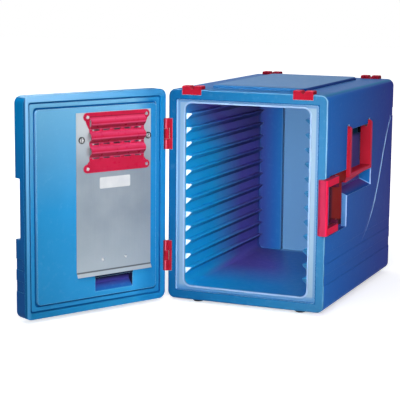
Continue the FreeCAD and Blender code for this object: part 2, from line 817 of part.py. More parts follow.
def heater_tray():
    room = tray_box(-TRAY_WALL, TRAY_FLOOR + TRAY_WALL, PLUG_FACE + PAST)
    pan = tray_box(0, TRAY_FLOOR, PLUG_FACE).cut(room)
    x = door_x(PLATE_IN)
    low = BASE + PLATE_LOW + PLATE_LIP_H + TRAY_MARGIN_END
    tab = box(
        x + TRAY_MARGIN_SIDE,
        x + PLATE_W - TRAY_MARGIN_SIDE,
        PLUG_FACE - TRAY_WALL,
        PLUG_FACE,
        low,
        low + RIVET_TAB_H,
    )
    tools = [along_y(x, PLUG_FACE - TRAY_WALL, PLUG_FACE, z, RIVET_R) for x, z in rivet_places()]
    tools += [along_y(x, TRAY_FLOOR, TRAY_FLOOR + TRAY_WALL, z, LEAD_R) for x, z in lead_places()]
    return cut_all(pan.fuse(tab), tools).removeSplitter()


def heater_plate():
    x = door_x(PLATE_IN)
    low = BASE + PLATE_LOW
    sheet = box(x, x + PLATE_W, PLUG_FACE, PLATE_FACE, low + PLATE_LIP_H, low + PLATE_H)
    lip = [
        (PLUG_FACE, low + PLATE_LIP_H),
        (PLATE_FACE, low + PLATE_LIP_H),
        (PLATE_FACE + PLATE_LIP_OUT, low),
        (PLUG_FACE + PLATE_LIP_OUT, low),
    ]
    sheet = sheet.fuse(prism_along_x(lip, x, x + PLATE_W))
    window = box(
        door_x(COVER_IN) + COVER_TAB_OUT,
        door_x(COVER_IN) + COVER_W - COVER_TAB_OUT,
        PLUG_FACE,
        PLATE_FACE,
        cover_wave_low(),
        cover_wave_high(),
    )
    tools = [window]
    tools += [lock_shank(lx, LOCK_SHANK_R + RUNNING_CLEARANCE) for lx in lock_places()]
    tools += [along_y(sx, PLUG_FACE, PLATE_FACE, z, SCREW_R) for sx, z in screw_places()]
    tools += [along_y(rx, PLUG_FACE, PLATE_FACE, z, RIVET_R) for rx, z in rivet_places()]
    return cut_all(sheet, tools).removeSplitter()


def arc_strip(centre_y, centre_z, radius, start, end, x0, x1):
    """A bent strip of the cover's sheet, between two angles about a line along X."""
    rim = []
    for r in (radius - COVER_T / 2, radius + COVER_T / 2):
        angles = (start, (start + end) / 2, end)
        rim.append([V(x0, centre_y + r * math.sin(a), centre_z + r * math.cos(a)) for a in angles])
    inner, outer = rim
    edges = [
        Part.Arc(*inner).toShape(),
        Part.makeLine(inner[2], outer[2]),
        Part.Arc(*reversed(outer)).toShape(),
        Part.makeLine(outer[0], inner[0]),
    ]
    return Part.Face(Part.Wire(edges)).extrude(V(x1 - x0, 0, 0))


def heater_cover():
    """The corrugated cover: three rolled ridges with rows of slots in the valleys between."""
    x0 = door_x(COVER_IN)
    x1 = x0 + COVER_W
    low = BASE + COVER_LOW
    wave_low = cover_wave_low()
    wave_high = cover_wave_high()
    high = wave_high + COVER_TOP_FLANGE_H
    half = COVER_WAVE / 2
    rise = COVER_DEPTH - COVER_T
    radius = (half * half + rise * rise) / (4 * rise)
    turn = 2 * math.atan(rise / half)
    floor = PLATE_FACE + COVER_T / 2
    crest = floor + rise
    strips = []
    for i in range(COVER_WAVES):
        foot_z = wave_low + i * COVER_WAVE
        peak_z = foot_z + half
        end_z = foot_z + COVER_WAVE
        quarter = math.pi / 2
        strips.append(arc_strip(crest - radius, peak_z, radius, quarter - turn, quarter + turn, x0, x1))
        strips.append(arc_strip(floor + radius, foot_z, radius, -quarter, turn - quarter, x0, x1))
        strips.append(arc_strip(floor + radius, end_z, radius, -quarter - turn, -quarter, x0, x1))
    back = PLATE_FACE
    face = PLATE_FACE + COVER_T
    strips.append(box(x0, x1, back, face, low, wave_low))
    strips.append(box(x0, x1, back, face, wave_high, high))
    for x, z in screw_places():
        lobe = COVER_TAB_H / 2
        side = min((x0, x1), key=lambda edge: abs(edge - x))
        inner, outer = sorted((x, side))
        strips.append(along_y(x, back, face, z, lobe))
        strips.append(box(inner, outer, back, face, z - lobe, z + lobe))
    cover = fused(strips)
    middle = (x0 + x1) / 2
    tools = [along_y(x, back, face, z, SCREW_R) for x, z in screw_places()]
    for row in range(COVER_WAVES):
        z0 = wave_low + row * COVER_WAVE - SLOT_H / 2
        for k in range(SLOT_COUNT):
            x = middle + (k - (SLOT_COUNT - 1) / 2) * SLOT_PITCH
            x0 = x - SLOT_L / 2
            tools.append(box(x0, x0 + SLOT_L, back - PAST, back + COVER_DEPTH / 2, z0, z0 + SLOT_H))
    return cut_all(cover, tools)


def cover_screws():
    screws = []
    for x, z in screw_places():
        seat = PLATE_FACE + COVER_T
        head = along_y(x, seat, seat + SCREW_HEAD_H, z, SCREW_HEAD_R)
        shank = along_y(x, seat - SCREW_SHANK, seat, z, SCREW_R)
        screws.append(head.fuse(shank))
    return screws


def plate_rivets():
    rivets = []
    for x, z in rivet_places():
        head = along_y(x, PLATE_FACE, PLATE_FACE + RIVET_HEAD_H, z, RIVET_HEAD_R)
        rim = [e for e in head.Edges if e.BoundBox.YMin > PLATE_FACE + RIVET_HEAD_H - NEAR]
        shank = along_y(x, PLUG_FACE - TRAY_WALL, PLATE_FACE, z, RIVET_R)
        rivets.append(head.makeFillet(RIVET_DOME_R, rim).fuse(shank))
    return Part.makeCompound(rivets)


def element_ends():
    """The two tails of the heating element, as X places, and the height where they stop."""
    x, z = inlet_centre()
    return (x - ELEMENT_TAIL_SPREAD, x + ELEMENT_TAIL_SPREAD), z + BLOCK_H / 2


def element_run_ends():
    (tail_far, tail_near), end_z = element_ends()
    bend = ELEMENT_PITCH / 2
    wall = door_x(PLATE_IN) + PLATE_W - TRAY_MARGIN_SIDE - TRAY_WALL
    return tail_near + bend, wall - ELEMENT_SIDE_GAP - ELEMENT_R - bend


def heating_element():
    """One bent tube: straight runs joined by half turns, with both tails down to the block."""
    y = TRAY_FLOOR + ELEMENT_ABOVE_FLOOR
    (tail_far, tail_near), end_z = element_ends()
    bend = ELEMENT_PITCH / 2
    low_run = cover_wave_low() + ELEMENT_R * 2
    left, right = element_run_ends()
    points = [V(tail_near, y, end_z), V(tail_near, y, low_run - bend)]
    edges = [Part.makeLine(*points)]
    knee = math.sqrt(0.5) * bend
    corner = V(left - knee, y, low_run - bend + knee)
    edges.append(Part.Arc(points[1], corner, V(left, y, low_run)).toShape())
    for run in range(ELEMENT_RUNS):
        z = low_run + run * ELEMENT_PITCH
        outward = run % 2 == 0
        start = left if outward else right
        end = right if outward else left
        last = run == ELEMENT_RUNS - 1
        if last:
            end = tail_far + bend
        edges.append(Part.makeLine(V(start, y, z), V(end, y, z)))
        if not last:
            way = 1 if outward else -1
            middle = V(end + way * bend, y, z + bend)
            edges.append(Part.Arc(V(end, y, z), middle, V(end, y, z + ELEMENT_PITCH)).toShape())
    top = low_run + (ELEMENT_RUNS - 1) * ELEMENT_PITCH
    corner = V(tail_far + bend - knee, y, top - bend + knee)
    edges.append(Part.Arc(V(tail_far + bend, y, top), corner, V(tail_far, y, top - bend)).toShape())
    edges.append(Part.makeLine(V(tail_far, y, top - bend), V(tail_far, y, end_z)))
    path = Part.Wire(edges)
    ring = Part.Wire(Part.makeCircle(ELEMENT_R, V(tail_near, y, end_z), V(0, 0, 1)))
    return path.makePipeShell([ring], True, False)


def element_supports():
    left, right = element_run_ends()
    y0 = TRAY_FLOOR + TRAY_WALL
    y1 = TRAY_FLOOR + ELEMENT_ABOVE_FLOOR - ELEMENT_R
    low_run = cover_wave_low() + ELEMENT_R * 2
    high_run = low_run + (ELEMENT_RUNS - 1) * ELEMENT_PITCH
    half = SUPPORT_W / 2
    bars = []
    for x in (left + SUPPORT_W, right - SUPPORT_W):
        bars.append(box(x - half, x + half, y0, y1, low_run - SUPPORT_W, high_run + SUPPORT_W))
    return Part.makeCompound(bars)


def terminal_block():
    x, z = inlet_centre()
    y0 = TRAY_FLOOR + TRAY_WALL
    return box(x - BLOCK_W / 2, x + BLOCK_W / 2, y0, y0 + BLOCK_T, z - BLOCK_H / 2, z + BLOCK_H / 2)


def thermostat():
    x, z = inlet_centre()
    y0 = TRAY_FLOOR + TRAY_WALL
    cup = along_y(x + BLOCK_W, y0, y0 + THERMOSTAT_H, z, THERMOSTAT_R)
    rim = [e for e in cup.Edges if e.BoundBox.YMin > y0 + THERMOSTAT_H - NEAR]
    return cup.makeFillet(THERMOSTAT_EDGE_R, rim)


def supply_leads():
    y0 = DOOR_OUTER + INLET_T
    return Part.makeCompound([along_y(x, y0, TRAY_FLOOR + TRAY_WALL, z, LEAD_R) for x, z in lead_places()])


def mains_inlet():
    x, z = inlet_centre()
    cup = box(
        x - INLET_W / 2 + INLET_WALL,
        x + INLET_W / 2 - INLET_WALL,
        DOOR_OUTER - PAST,
        DOOR_OUTER + INLET_T - INLET_WALL,
        z - INLET_H / 2 + INLET_WALL,
        z + INLET_H / 2 - INLET_WALL,
    )
    tools = [cup] + inlet_pin_solids()
    return cut_all(inlet_seat(0), tools)


def inlet_pin_solids():
    y1 = DOOR_OUTER + INLET_T
    return [along_y(x, y1 - INLET_WALL - INLET_PIN_L, y1, z, INLET_PIN_R) for x, z in lead_places()]


def plate_lock(x):
    z = BASE + LOCK_UP
    head = along_y(x, PLATE_FACE, PLATE_FACE + LOCK_HEAD_H, z, LOCK_HEAD_R)
    wing = box(
        x - LOCK_WING_W / 2,
        x + LOCK_WING_W / 2,
        PLATE_FACE,
        PLATE_FACE + LOCK_HEAD_H + LOCK_WING_H,
        z - LOCK_WING_L / 2,
        z + LOCK_WING_L / 2,
    )
    return head.fuse(wing).fuse(lock_shank(x, LOCK_SHANK_R)).removeSplitter()


def door_insulation():
    core = door_room().fuse(plug_hollow())
    tools = [clamp_notch(DOOR_SKIN, 0), tray_box(0, TRAY_FLOOR, PLUG_FACE), inlet_seat(0)]
    tools += [door_hinge_seat(up, DOOR_SKIN, 0) for up in HINGE_UPS]
    tools.append(grip_pocket(DOOR_SKIN, PLUG_FACE - DOOR_SKIN))
    tools += [along_y(x, DOOR_OUTER, TRAY_FLOOR, z, LEAD_R) for x, z in lead_places()]
    return cut_all(core, tools).removeSplitter()


# Side clamp and its bracket


def clamp_pivot():
    return HALF_W + CLAMP_WALL_GAP + CLAMP_T / 2, FRONT + CLAMP_PIVOT_BACK


def clamp_lug_spans():
    low = BASE + CLAMP_LOW + CLAMP_ARM_H + CLAMP_LUG_GAP
    high = BASE + CLAMP_HIGH - CLAMP_ARM_H - CLAMP_LUG_GAP
    return (low, low + CLAMP_LUG_H), (high - CLAMP_LUG_H, high)


def clamp_pins():
    x, y = clamp_pivot()
    lower, upper = clamp_lug_spans()
    spans = ((BASE + CLAMP_LOW, lower[1]), (upper[0], BASE + CLAMP_HIGH))
    return [Part.makeCylinder(CLAMP_PIN_R, z1 - z0, V(x, y, z0), V(0, 0, 1)) for z0, z1 in spans]


def clamp_bracket():
    floor = HALF_W - CLAMP_POCKET_T
    y0 = FRONT + CLAMP_BASE_BACK
    y1 = FRONT + CLAMP_POCKET_BACK - CLAMP_STRAP_H
    z1 = BASE + CLAMP_POCKET_HIGH - CLAMP_BASE_MARGIN
    base = box(floor, floor + CLAMP_BASE_T, y0, y1, BASE + CLAMP_LOW, z1)
    strap_front = FRONT + CLAMP_POCKET_FRONT + CLAMP_BASE_MARGIN
    strap_end = FRONT + HANDLE_FRONT - HANDLE_SIDE_GAP
    strap_face = HALF_W - CLAMP_STRAP_SET_BACK
    strap = box(floor, strap_face, strap_front, strap_end, z1 - CLAMP_STRAP_H, z1)
    bracket = base.fuse(strap)
    x, y = clamp_pivot()
    for z0, z2 in clamp_lug_spans():
        eye = Part.makeCylinder(CLAMP_T / 2, z2 - z0, V(x, y, z0), V(0, 0, 1))
        arm = box(floor, x, y - CLAMP_T / 2, y + CLAMP_T / 2, z0, z2)
        bracket = bracket.fuse(eye).fuse(arm)
    return cut_all(bracket, clamp_pins()).removeSplitter()


def side_clamp():
    """A C-shaped clamp: two arms on the pin and a hooked front bar with a slanted lead-in."""
    x, y = clamp_pivot()
    inside = x - CLAMP_T / 2
    outside = x + CLAMP_T / 2
    hook_back = DOOR_INNER - SHELF_T - CLAMP_HOOK_GAP
    hook_front = hook_back - CLAMP_HOOK_T
    tip = HALF_W - CLAMP_HOOK_REACH
    outline = [
        V(outside, y, 0),
        V(outside, hook_front, 0),
        V(tip + CLAMP_LEAD, hook_front, 0),
        V(tip, hook_front + CLAMP_LEAD, 0),
        V(tip, hook_back, 0),
        V(inside, hook_back, 0),
        V(inside, y, 0),
    ]
    low = BASE + CLAMP_LOW
    high = BASE + CLAMP_HIGH
    edges = [Part.makeLine(a, b) for a, b in zip(outline, outline[1:])]
    edges.append(Part.Arc(outline[-1], V(x, y + CLAMP_T / 2, 0), outline[0]).toShape())
    clamp = Part.Face(Part.Wire(edges)).extrude(V(0, 0, high - low))
    clamp.translate(V(0, 0, low))
    corner = [
        e
        for e in clamp.Edges
        if abs(e.tangentAt(e.FirstParameter).z) > 0.999
        and abs(e.BoundBox.XMax - outside) < NEAR
        and abs(e.BoundBox.YMin - hook_front) < NEAR
    ]
    clamp = clamp.makeFillet(CLAMP_EDGE_R, corner)
    arm_low = low + CLAMP_ARM_H
    arm_high = high - CLAMP_ARM_H
    gap = box(tip - FAR_PAST, outside + PAST, hook_back, y + CLAMP_T, arm_low, arm_high)
    bore = Part.makeCylinder(CLAMP_PIN_R + RUNNING_CLEARANCE, high - low, V(x, y, low), V(0, 0, 1))
    return clamp.cut(gap).cut(bore).removeSplitter()


# Bail handles


def bail_handle():
    """Two flat arms that hang from pins in the pocket's ends, joined by a grip with a tapering rib."""
    outside = HALF_W + HANDLE_PROUD
    inside = outside - HANDLE_ARM_W
    x = (outside + inside) / 2
    pivot = BASE + HANDLE_PIVOT_UP
    front = FRONT + HANDLE_FRONT
    back = front + HANDLE_LENGTH
    grip_low = pivot - HANDLE_GRIP_DROP + HANDLE_RIB_H
    grip_mid = grip_low + HANDLE_GRIP_H / 2
    grip = box(inside, outside, front, back, grip_low, grip_low + HANDLE_GRIP_H)
    pieces = [rounded(grip, HANDLE_GRIP_R, V(0, 1, 0))]
    for y in (front, back - HANDLE_ARM_T):
        arm = box(inside, outside, y, y + HANDLE_ARM_T, grip_mid, pivot + HANDLE_EAR_UP)
        crown = [e for e in arm.Edges if e.BoundBox.XLength < NEAR and e.BoundBox.ZMin > pivot]
        pieces.append(arm.makeFillet(HANDLE_EAR_R, crown))
    outline = [
        (front, grip_mid),
        (back, grip_mid),
        (back, grip_low - HANDLE_RIB_END_H),
        (front, grip_low - HANDLE_RIB_H),
    ]
    pieces.append(prism_along_x(outline, inside + HANDLE_GRIP_R, outside - HANDLE_RIB_SET_BACK))
    radius = HANDLE_PIN_R + RUNNING_CLEARANCE
    bores = [along_y(x, y, y + HANDLE_ARM_T, pivot, radius) for y in (front, back - HANDLE_ARM_T)]
    return cut_all(fused(pieces), bores)


# Every node of the part
nodes = {}
nodes["outer_shell"] = outer_shell()
nodes["inner_liner"] = inner_liner()
nodes["insulation_core"] = insulation_core()
nodes["left_tray_ledges"] = ledges(-1)
nodes["right_tray_ledges"] = ledges(1)
nodes["door_seal"] = door_seal()
for name, (x, front) in zip(("front_left", "front_right", "rear_left", "rear_right"), LUG_PLACES):
    nodes[name + "_stacking_lug"] = stacking_lug(x, front)
for name, (x, y) in zip(("front_left", "front_right", "rear_left", "rear_right"), FOOT_PLACES):
    nodes[name + "_foot"] = foot(x, y)
for name, up in zip(("lower", "upper"), HINGE_UPS):
    nodes[name + "_body_hinge_leaf"] = body_hinge_leaf(up)
    nodes[name + "_door_hinge_leaf"] = opened(door_hinge_leaf(up))
nodes["hinge_pins"] = hinge_pins()
nodes["clamp_bracket"] = clamp_bracket()
nodes["clamp_pins"] = Part.makeCompound(clamp_pins())
nodes["side_clamp"] = side_clamp()
nodes["right_handle"] = bail_handle()
nodes["left_handle"] = mirrored(bail_handle())
nodes["right_handle_pins"] = Part.makeCompound(handle_pins())
nodes["left_handle_pins"] = Part.makeCompound([mirrored(p) for p in handle_pins()])
nodes["door_outer_shell"] = opened(door_outer_shell())
nodes["door_inner_panel"] = opened(door_inner_panel())
nodes["door_insulation"] = opened(door_insulation())
nodes["heater_tray"] = opened(heater_tray())
nodes["heater_plate"] = opened(heater_plate())
nodes["heater_cover"] = opened(heater_cover())
nodes["cover_screws"] = opened(Part.makeCompound(cover_screws()))
nodes["plate_rivets"] = opened(plate_rivets())
nodes["heating_element"] = opened(heating_element())
nodes["element_supports"] = opened(element_supports())
nodes["terminal_block"] = opened(terminal_block())
nodes["thermostat"] = opened(thermostat())
nodes["supply_leads"] = opened(supply_leads())
nodes["mains_inlet"] = opened(mains_inlet())
nodes["inlet_pins"] = opened(Part.makeCompound(inlet_pin_solids()))
for name, x in zip(("left", "right"), lock_places()):
    nodes[name + "_plate_lock"] = opened(plate_lock(x))

os.makedirs("parts", exist_ok=True)
for name, shape in nodes.items():
    shape.exportStep("parts/" + name + ".step")
    volume = sum(s.Volume for s in shape.Solids)
    print(name, len(shape.Solids), "solids", round(volume / 1000, 1), "cm3", "valid", shape.isValid())
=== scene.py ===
import json
import math

import bmesh
import bpy
from mathutils import Matrix, Vector


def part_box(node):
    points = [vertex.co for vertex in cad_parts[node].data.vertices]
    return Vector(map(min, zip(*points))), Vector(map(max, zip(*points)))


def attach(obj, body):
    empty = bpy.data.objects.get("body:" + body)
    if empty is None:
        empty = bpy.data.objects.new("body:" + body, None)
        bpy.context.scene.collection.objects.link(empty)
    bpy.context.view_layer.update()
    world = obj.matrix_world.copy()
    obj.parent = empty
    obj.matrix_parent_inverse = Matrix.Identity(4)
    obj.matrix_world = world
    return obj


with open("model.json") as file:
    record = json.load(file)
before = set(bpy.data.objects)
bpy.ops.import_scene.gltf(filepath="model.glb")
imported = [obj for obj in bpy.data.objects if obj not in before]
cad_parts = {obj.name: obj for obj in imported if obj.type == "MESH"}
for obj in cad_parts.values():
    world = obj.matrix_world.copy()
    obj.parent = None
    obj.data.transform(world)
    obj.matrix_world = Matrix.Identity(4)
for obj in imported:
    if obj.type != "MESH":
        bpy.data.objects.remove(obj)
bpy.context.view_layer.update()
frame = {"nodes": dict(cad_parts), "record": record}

cad_nodes = frame["nodes"]


def corners(node):
    """The lowest and the highest corner of a node's box."""
    return tuple(Vector(corner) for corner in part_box(node))


# Places on the body, in metres

SHELL_LOW, SHELL_HIGH = corners("outer_shell")
LINER_LOW, LINER_HIGH = corners("inner_liner")
SEAL_LOW, SEAL_HIGH = corners("door_seal")
HANDLE_LOW, HANDLE_HIGH = corners("right_handle")
BASE = SHELL_LOW.z
SIDE = SHELL_HIGH.x
FRONT = SHELL_LOW.y
BACK = SHELL_HIGH.y
PANEL_TOP = SHELL_HIGH.z
BODY_TOP = PANEL_TOP - 0.008
HAND_POCKET_LOW = BASE + 0.281
HAND_POCKET_SLOPE = 15.0 / 35.0
CHANNEL_X = -0.0995

# Places on the door, in metres: across from its hinge edge, up from the base

PIN_LOW, PIN_HIGH = corners("hinge_pins")
PLATE_LOW = corners("heater_plate")[0].z
COVER_LOW, COVER_HIGH = (corner.z for corner in corners("heater_cover"))
HINGE = Vector(((PIN_LOW.x + PIN_HIGH.x) / 2, (PIN_LOW.y + PIN_HIGH.y) / 2, 0.0))
DOOR_OPEN = math.radians(-118)
DOOR_TURN = Matrix.Rotation(DOOR_OPEN, 3, "Z")
DOOR_EDGE_X = SHELL_LOW.x
DOOR_TOP = corners("door_outer_shell")[1].z
PLATE_FACE = FRONT + 0.0035
GRIP_POCKET_IN = 0.110
GRIP_POCKET_W = 0.119
GRIP_POCKET_LOW = BASE + 0.047
GRIP_POCKET_HIGH = BASE + 0.084
COVER_IN = 0.077
COVER_W = 0.170
LABEL_MIDDLE = (0.1675, 0.3295)
LABEL_SIZE = (0.095, 0.029)
LABEL_RADIUS = 0.003
LABEL_EDGE = 0.00020
LABEL_BEVEL = 0.00025
LABEL_THICK = 0.00032
TAB_HALF = 0.011
WEB_OUT = 0.0135
WEB_BEND_OUT = 0.0090
WEB_OVERLAP = 0.0010
LOCK_RADIUS = 0.006

RIGHT = Vector((1.0, 0.0, 0.0))
AHEAD = Vector((0.0, 1.0, 0.0))
UP = Vector((0.0, 0.0, 1.0))


def on_door(across, out, up):
    """A point of the open door."""
    closed = Vector((DOOR_EDGE_X + across, PLATE_FACE + out, BASE + up))
    return HINGE + DOOR_TURN @ (closed - HINGE)


DOOR_OUT = DOOR_TURN @ AHEAD
DOOR_ALONG = DOOR_TURN @ RIGHT
DOOR_FACE = on_door(0.0, 0.0, 0.0).dot(DOOR_OUT)


def along_door(across):
    """A distance from the hinge edge, as one along the open door."""
    return on_door(across, 0.0, 0.0).dot(DOOR_ALONG)


DOOR_FREE = along_door(2 * SIDE)


# Node trees


class Tree:
    """A material's node tree, with short ways to add and join nodes."""

    def __init__(self, name):
        self.material = bpy.data.materials.new(name)
        self.material.use_nodes = True
        self.nodes = self.material.node_tree.nodes
        self.links = self.material.node_tree.links
        self.bsdf = self.nodes["Principled BSDF"]
        coordinates = self.add("ShaderNodeTexCoord").outputs
        self.where = coordinates["Object"]
        self.normal = coordinates["Normal"]
        place = self.add("ShaderNodeSeparateXYZ", {"Vector": self.where}).outputs
        self.x, self.y, self.z = place["X"], place["Y"], place["Z"]

    def add(self, kind, inputs=None, **settings):
        node = self.nodes.new(kind)
        for key, value in settings.items():
            setattr(node, key, value)
        for key, value in (inputs or {}).items():
            self.put(value, node.inputs[key])
        return node

    def put(self, value, socket):
        """Joins a socket, or sets a value. Colours are given without their alpha."""
        if isinstance(value, bpy.types.NodeSocket):
            self.links.new(value, socket)
        elif socket.type == "RGBA":
            socket.default_value = (*value, 1.0)
        else:
            socket.default_value = value

    def math(self, operation, first, second=0.0):
        return self.add("ShaderNodeMath", {0: first, 1: second}, operation=operation).outputs[0]

    def plus(self, first, second):
        return self.math("ADD", first, second)

    def times(self, first, second):
        return self.math("MULTIPLY", first, second)

    def most(self, first, second):
        return self.math("MAXIMUM", first, second)

    def size(self, value):
        return self.math("ABSOLUTE", value)

    def vectors(self, operation, first, second, output):
        pair = {0: first, 1: second}
        return self.add("ShaderNodeVectorMath", pair, operation=operation).outputs[output]

    def length(self, vector):
        return self.vectors("LENGTH", vector, (0.0, 0.0, 0.0), "Value")

    def along(self, direction):
        """How far a point lies along a direction."""
        return self.vectors("DOT_PRODUCT", self.where, direction, "Value")

    def spread(self, value, low, high, start=0.3, end=0.7):
        """From low to high while the value goes from start to end."""
        sockets = {"Value": value, "From Min": start, "From Max": end, "To Min": low, "To Max": high}
        return self.add("ShaderNodeMapRange", sockets).outputs["Result"]

    def rise(self, value, start, end, top=1.0):
        return self.spread(value, 0.0, top, start, end)

    def fall(self, value, start, end, top=1.0):
        return self.spread(value, top, 0.0, start, end)

    def between(self, value, start, end, soft):
        """One where the value lies from start to end, with soft ends."""
        return self.times(self.rise(value, start - soft, start), self.fall(value, end, end + soft))

    def facing(self, direction, start=0.5, end=0.8):
        """One on the faces that look along the direction, in the piece's own axes."""
        return self.rise(self.vectors("DOT_PRODUCT", self.normal, direction, "Value"), start, end)

    def outside(self, low, high):
        """How far a point lies outside a box that is centred on X, seen from the front."""
        across = self.plus(self.size(self.x), -high.x)
        upright = self.plus(self.size(self.plus(self.z, -(low.z + high.z) / 2)), -(high.z - low.z) / 2)
        return self.most(across, upright)

    def edges(self, radius, start, end):
        """One along the edges of the piece, nothing on its flat faces."""
        rounded = self.add("ShaderNodeBevel", {"Radius": radius}, samples=4).outputs["Normal"]
        plain = self.add("ShaderNodeNewGeometry").outputs["Normal"]
        return self.fall(self.vectors("DOT_PRODUCT", rounded, plain, "Value"), start, end)

    def noise(self, scale, detail=3.0, stretch=None, rough=0.5):
        where = self.where
        if stretch:
            where = self.add("ShaderNodeMapping", {"Vector": where, "Scale": stretch}).outputs[0]
        sockets = {"Vector": where, "Scale": scale, "Detail": detail, "Roughness": rough}
        return self.add("ShaderNodeTexNoise", sockets).outputs["Fac"]

    def ramp(self, value, *stops):
        """Colours at places from nothing to one."""
        node = self.add("ShaderNodeValToRGB", {"Fac": value})
        elements = node.color_ramp.elements
        while len(elements) < len(stops):
            elements.new(0.5)
        for element, (place, colour) in zip(elements, stops):
            element.position = place
            element.color = (*colour, 1.0)
        return node.outputs["Color"]

    def mix(self, share, first, second):
        """The first colour, with a share of the second."""
        return self.add("ShaderNodeMix", {0: share, 6: first, 7: second}, data_type="RGBA").outputs[2]

    def bump(self, height, strength, distance, edge=0.0):
        """A bump from a height, over edges that are rounded by the radius edge."""
        node = self.add("ShaderNodeBump", {"Height": height, "Strength": strength, "Distance": distance})
        if edge:
            rounded = self.add("ShaderNodeBevel", {"Radius": edge}, samples=4).outputs["Normal"]
            self.put(rounded, node.inputs["Normal"])
        return node.outputs["Normal"]

    def finish(self, colour, rough, normal, **sockets):
        self.put(colour, self.bsdf.inputs["Base Color"])
        self.put(rough, self.bsdf.inputs["Roughness"])
        self.put(normal, self.bsdf.inputs["Normal"])
        for key, value in sockets.items():
            self.put(value, self.bsdf.inputs[key.replace("_", " ")])
        return self.material


# Kinds of material


def moulded(name, colour, deep, scuffed_and_highlit, rough, gloss=0.3, edge_band=0.0012, shade=None, ior=1.45, scuff_and_highlight_share=None):
    """Moulded plastic: slow drifts of shade, a fine skin grain, and paler edges that are part rubbed wear
    and part painted highlight.
    """
    t = Tree(name)
    drift = t.noise(scale=7.0, detail=4.0)
    base = t.ramp(drift, (0.35, deep), (0.65, colour))
    if shade:
        base = shade(t, base)
    scuff = t.noise(scale=60.0, detail=6.0, rough=0.7)
    # paler edges: part rubbed wear, part painted highlight along the rounded edges
    edge = t.edges(edge_band, 0.75, 0.995)
    if scuff_and_highlight_share:
        edge = t.times(edge, scuff_and_highlight_share(t))
    scuffed_and_highlit_edges = t.mix(edge, base, scuffed_and_highlit)
    tint = t.mix(t.rise(scuff, 0.55, 0.8, top=0.08), scuffed_and_highlit_edges, scuffed_and_highlit)
    skin = t.bump(t.noise(scale=900.0, detail=2.0), strength=0.3, distance=0.0001, edge=0.0015)
    sheen = t.spread(scuff, rough - 0.06, rough + 0.08)
    return t.finish(tint, sheen, skin, Specular_IOR_Level=gloss, IOR=ior)


def brushed(name, colour, deep, rough, stretch, metal=1.0, shade=None):
    """Sheet metal with fine drawn lines and faint smears."""
    t = Tree(name)
    lines = t.noise(scale=6.0, detail=5.0, stretch=stretch, rough=0.6)
    smear = t.noise(scale=14.0, detail=4.0)
    tone = t.ramp(smear, (0.3, deep), (0.7, colour))
    if shade:
        tone = shade(t, tone)
    pale = [min(1.0, 1.25 * part) for part in colour]
    # paler edges: part rubbed wear, part painted highlight
    scuffed_and_highlit = t.mix(t.edges(0.0006, 0.7, 0.99), tone, pale)
    gloss = t.spread(lines, rough - 0.07, rough + 0.1)
    return t.finish(scuffed_and_highlit, gloss, t.bump(lines, strength=0.12, distance=0.0001), Metallic=metal)


# Shades of the body's shell, with painted light and shade

# painted shade: the sides are paler blue at the front and darker violet to the back
SIDE_FRONT = (0.012, 0.160, 0.600)
SIDE_BACK = (0.015, 0.031, 0.315)
# the back face painted in as deep a shade as the sides
SHELL_BACK = (0.016, 0.090, 0.440)
# painted violet shade deep in the pockets
POCKET_DEEP = (0.260, 0.070, 0.530)
POCKET_MIDDLE = (0.150, 0.085, 0.400)
# painted shadow over the upper end of the hand pocket
POCKET_SHADOW = (0.004, 0.003, 0.006)
# pocket walls facing the front: painted lit near the mouth, in painted shade behind the handle, with a
# painted highlight on the far wall's foot
POCKET_END_NEAR = (0.230, 0.430, 0.740)
POCKET_END = (0.040, 0.200, 0.520)
POCKET_END_FAR = (0.016, 0.170, 0.530)
POCKET_END_FOOT = (0.250, 0.520, 0.920)
POCKET_END_SHADOW = (0.012, 0.008, 0.024)
# painted highlight on the crease's step and on the pockets' outer edges
CREASE = (0.400, 0.600, 0.950)
# painted light on the front rim: in shade on the left, lit on the right
RIM_LEFT = (0.004, 0.090, 0.245)
RIM_MIDDLE = (0.012, 0.135, 0.310)
RIM_RIGHT = (0.036, 0.170, 0.345)
# painted shade line round the mouth, painted highlight on the rim's outer edges
RIM_LINE = (0.003, 0.055, 0.190)
RIM_EDGE = (0.300, 0.580, 0.860)
# the mouth's recess: deeper blue, with its left wall painted lit
RECESS = (0.030, 0.200, 0.480)
RECESS_LEFT = (0.420, 0.660, 0.900)
# top painted pale as a reflection of the light above, bluer at its front; the raised panel's right side in
# painted shade
TOP_ROUND_PANEL = (0.040, 0.170, 0.480)
TOP_PANEL = (0.115, 0.280, 0.560)
TOP_FRONT = (0.008, 0.150, 0.410)
PANEL_SIDE = (0.006, 0.050, 0.260)


def shell_shade(t, base):
    """A front rim painted lighter to the right, a top painted pale as a reflection of the light above,
    sides painted in shade that turns violet to the back, and a back face painted as deep a blue as the
    shaded sides.
    """
    across = t.size(t.x)
    behind_rim = t.rise(t.y, FRONT + 0.0025, FRONT + 0.0065)
    outward = t.rise(across, SIDE - 0.041, SIDE - 0.033)
    below_top = t.fall(t.z, BODY_TOP - 0.008, BODY_TOP - 0.0005)
    on_side = t.times(t.times(outward, behind_rim), below_top)
    painted = t.mix(on_side, front_and_top(t, base, behind_rim), side_shade(t, across))
    return rim_lines(t, t.mix(t.facing(AHEAD), painted, SHELL_BACK))


def side_shade(t, across):
    """The sides, painted in shade that darkens and turns violet to the back, with their pockets painted in
    violet shade and a painted shadow over their upper ends.
    """
    side = t.ramp(t.rise(t.y, FRONT, BACK), (0.0, SIDE_FRONT), (1.0, SIDE_BACK))
    deep = t.ramp(t.rise(across, SIDE - 0.047, SIDE - 0.023), (0.0, POCKET_DEEP), (1.0, POCKET_MIDDLE))
    pocket = t.mix(t.fall(across, SIDE - 0.023, SIDE - 0.003), side, deep)
    walls = t.mix(t.facing(-AHEAD), pocket, pocket_ends(t, across))
    high = t.rise(t.z, HANDLE_HIGH.z - 0.048, HANDLE_HIGH.z - 0.036)
    shadow = t.times(high, t.fall(across, SIDE - 0.011, SIDE - 0.006))
    return t.mix(shadow, walls, POCKET_SHADOW)


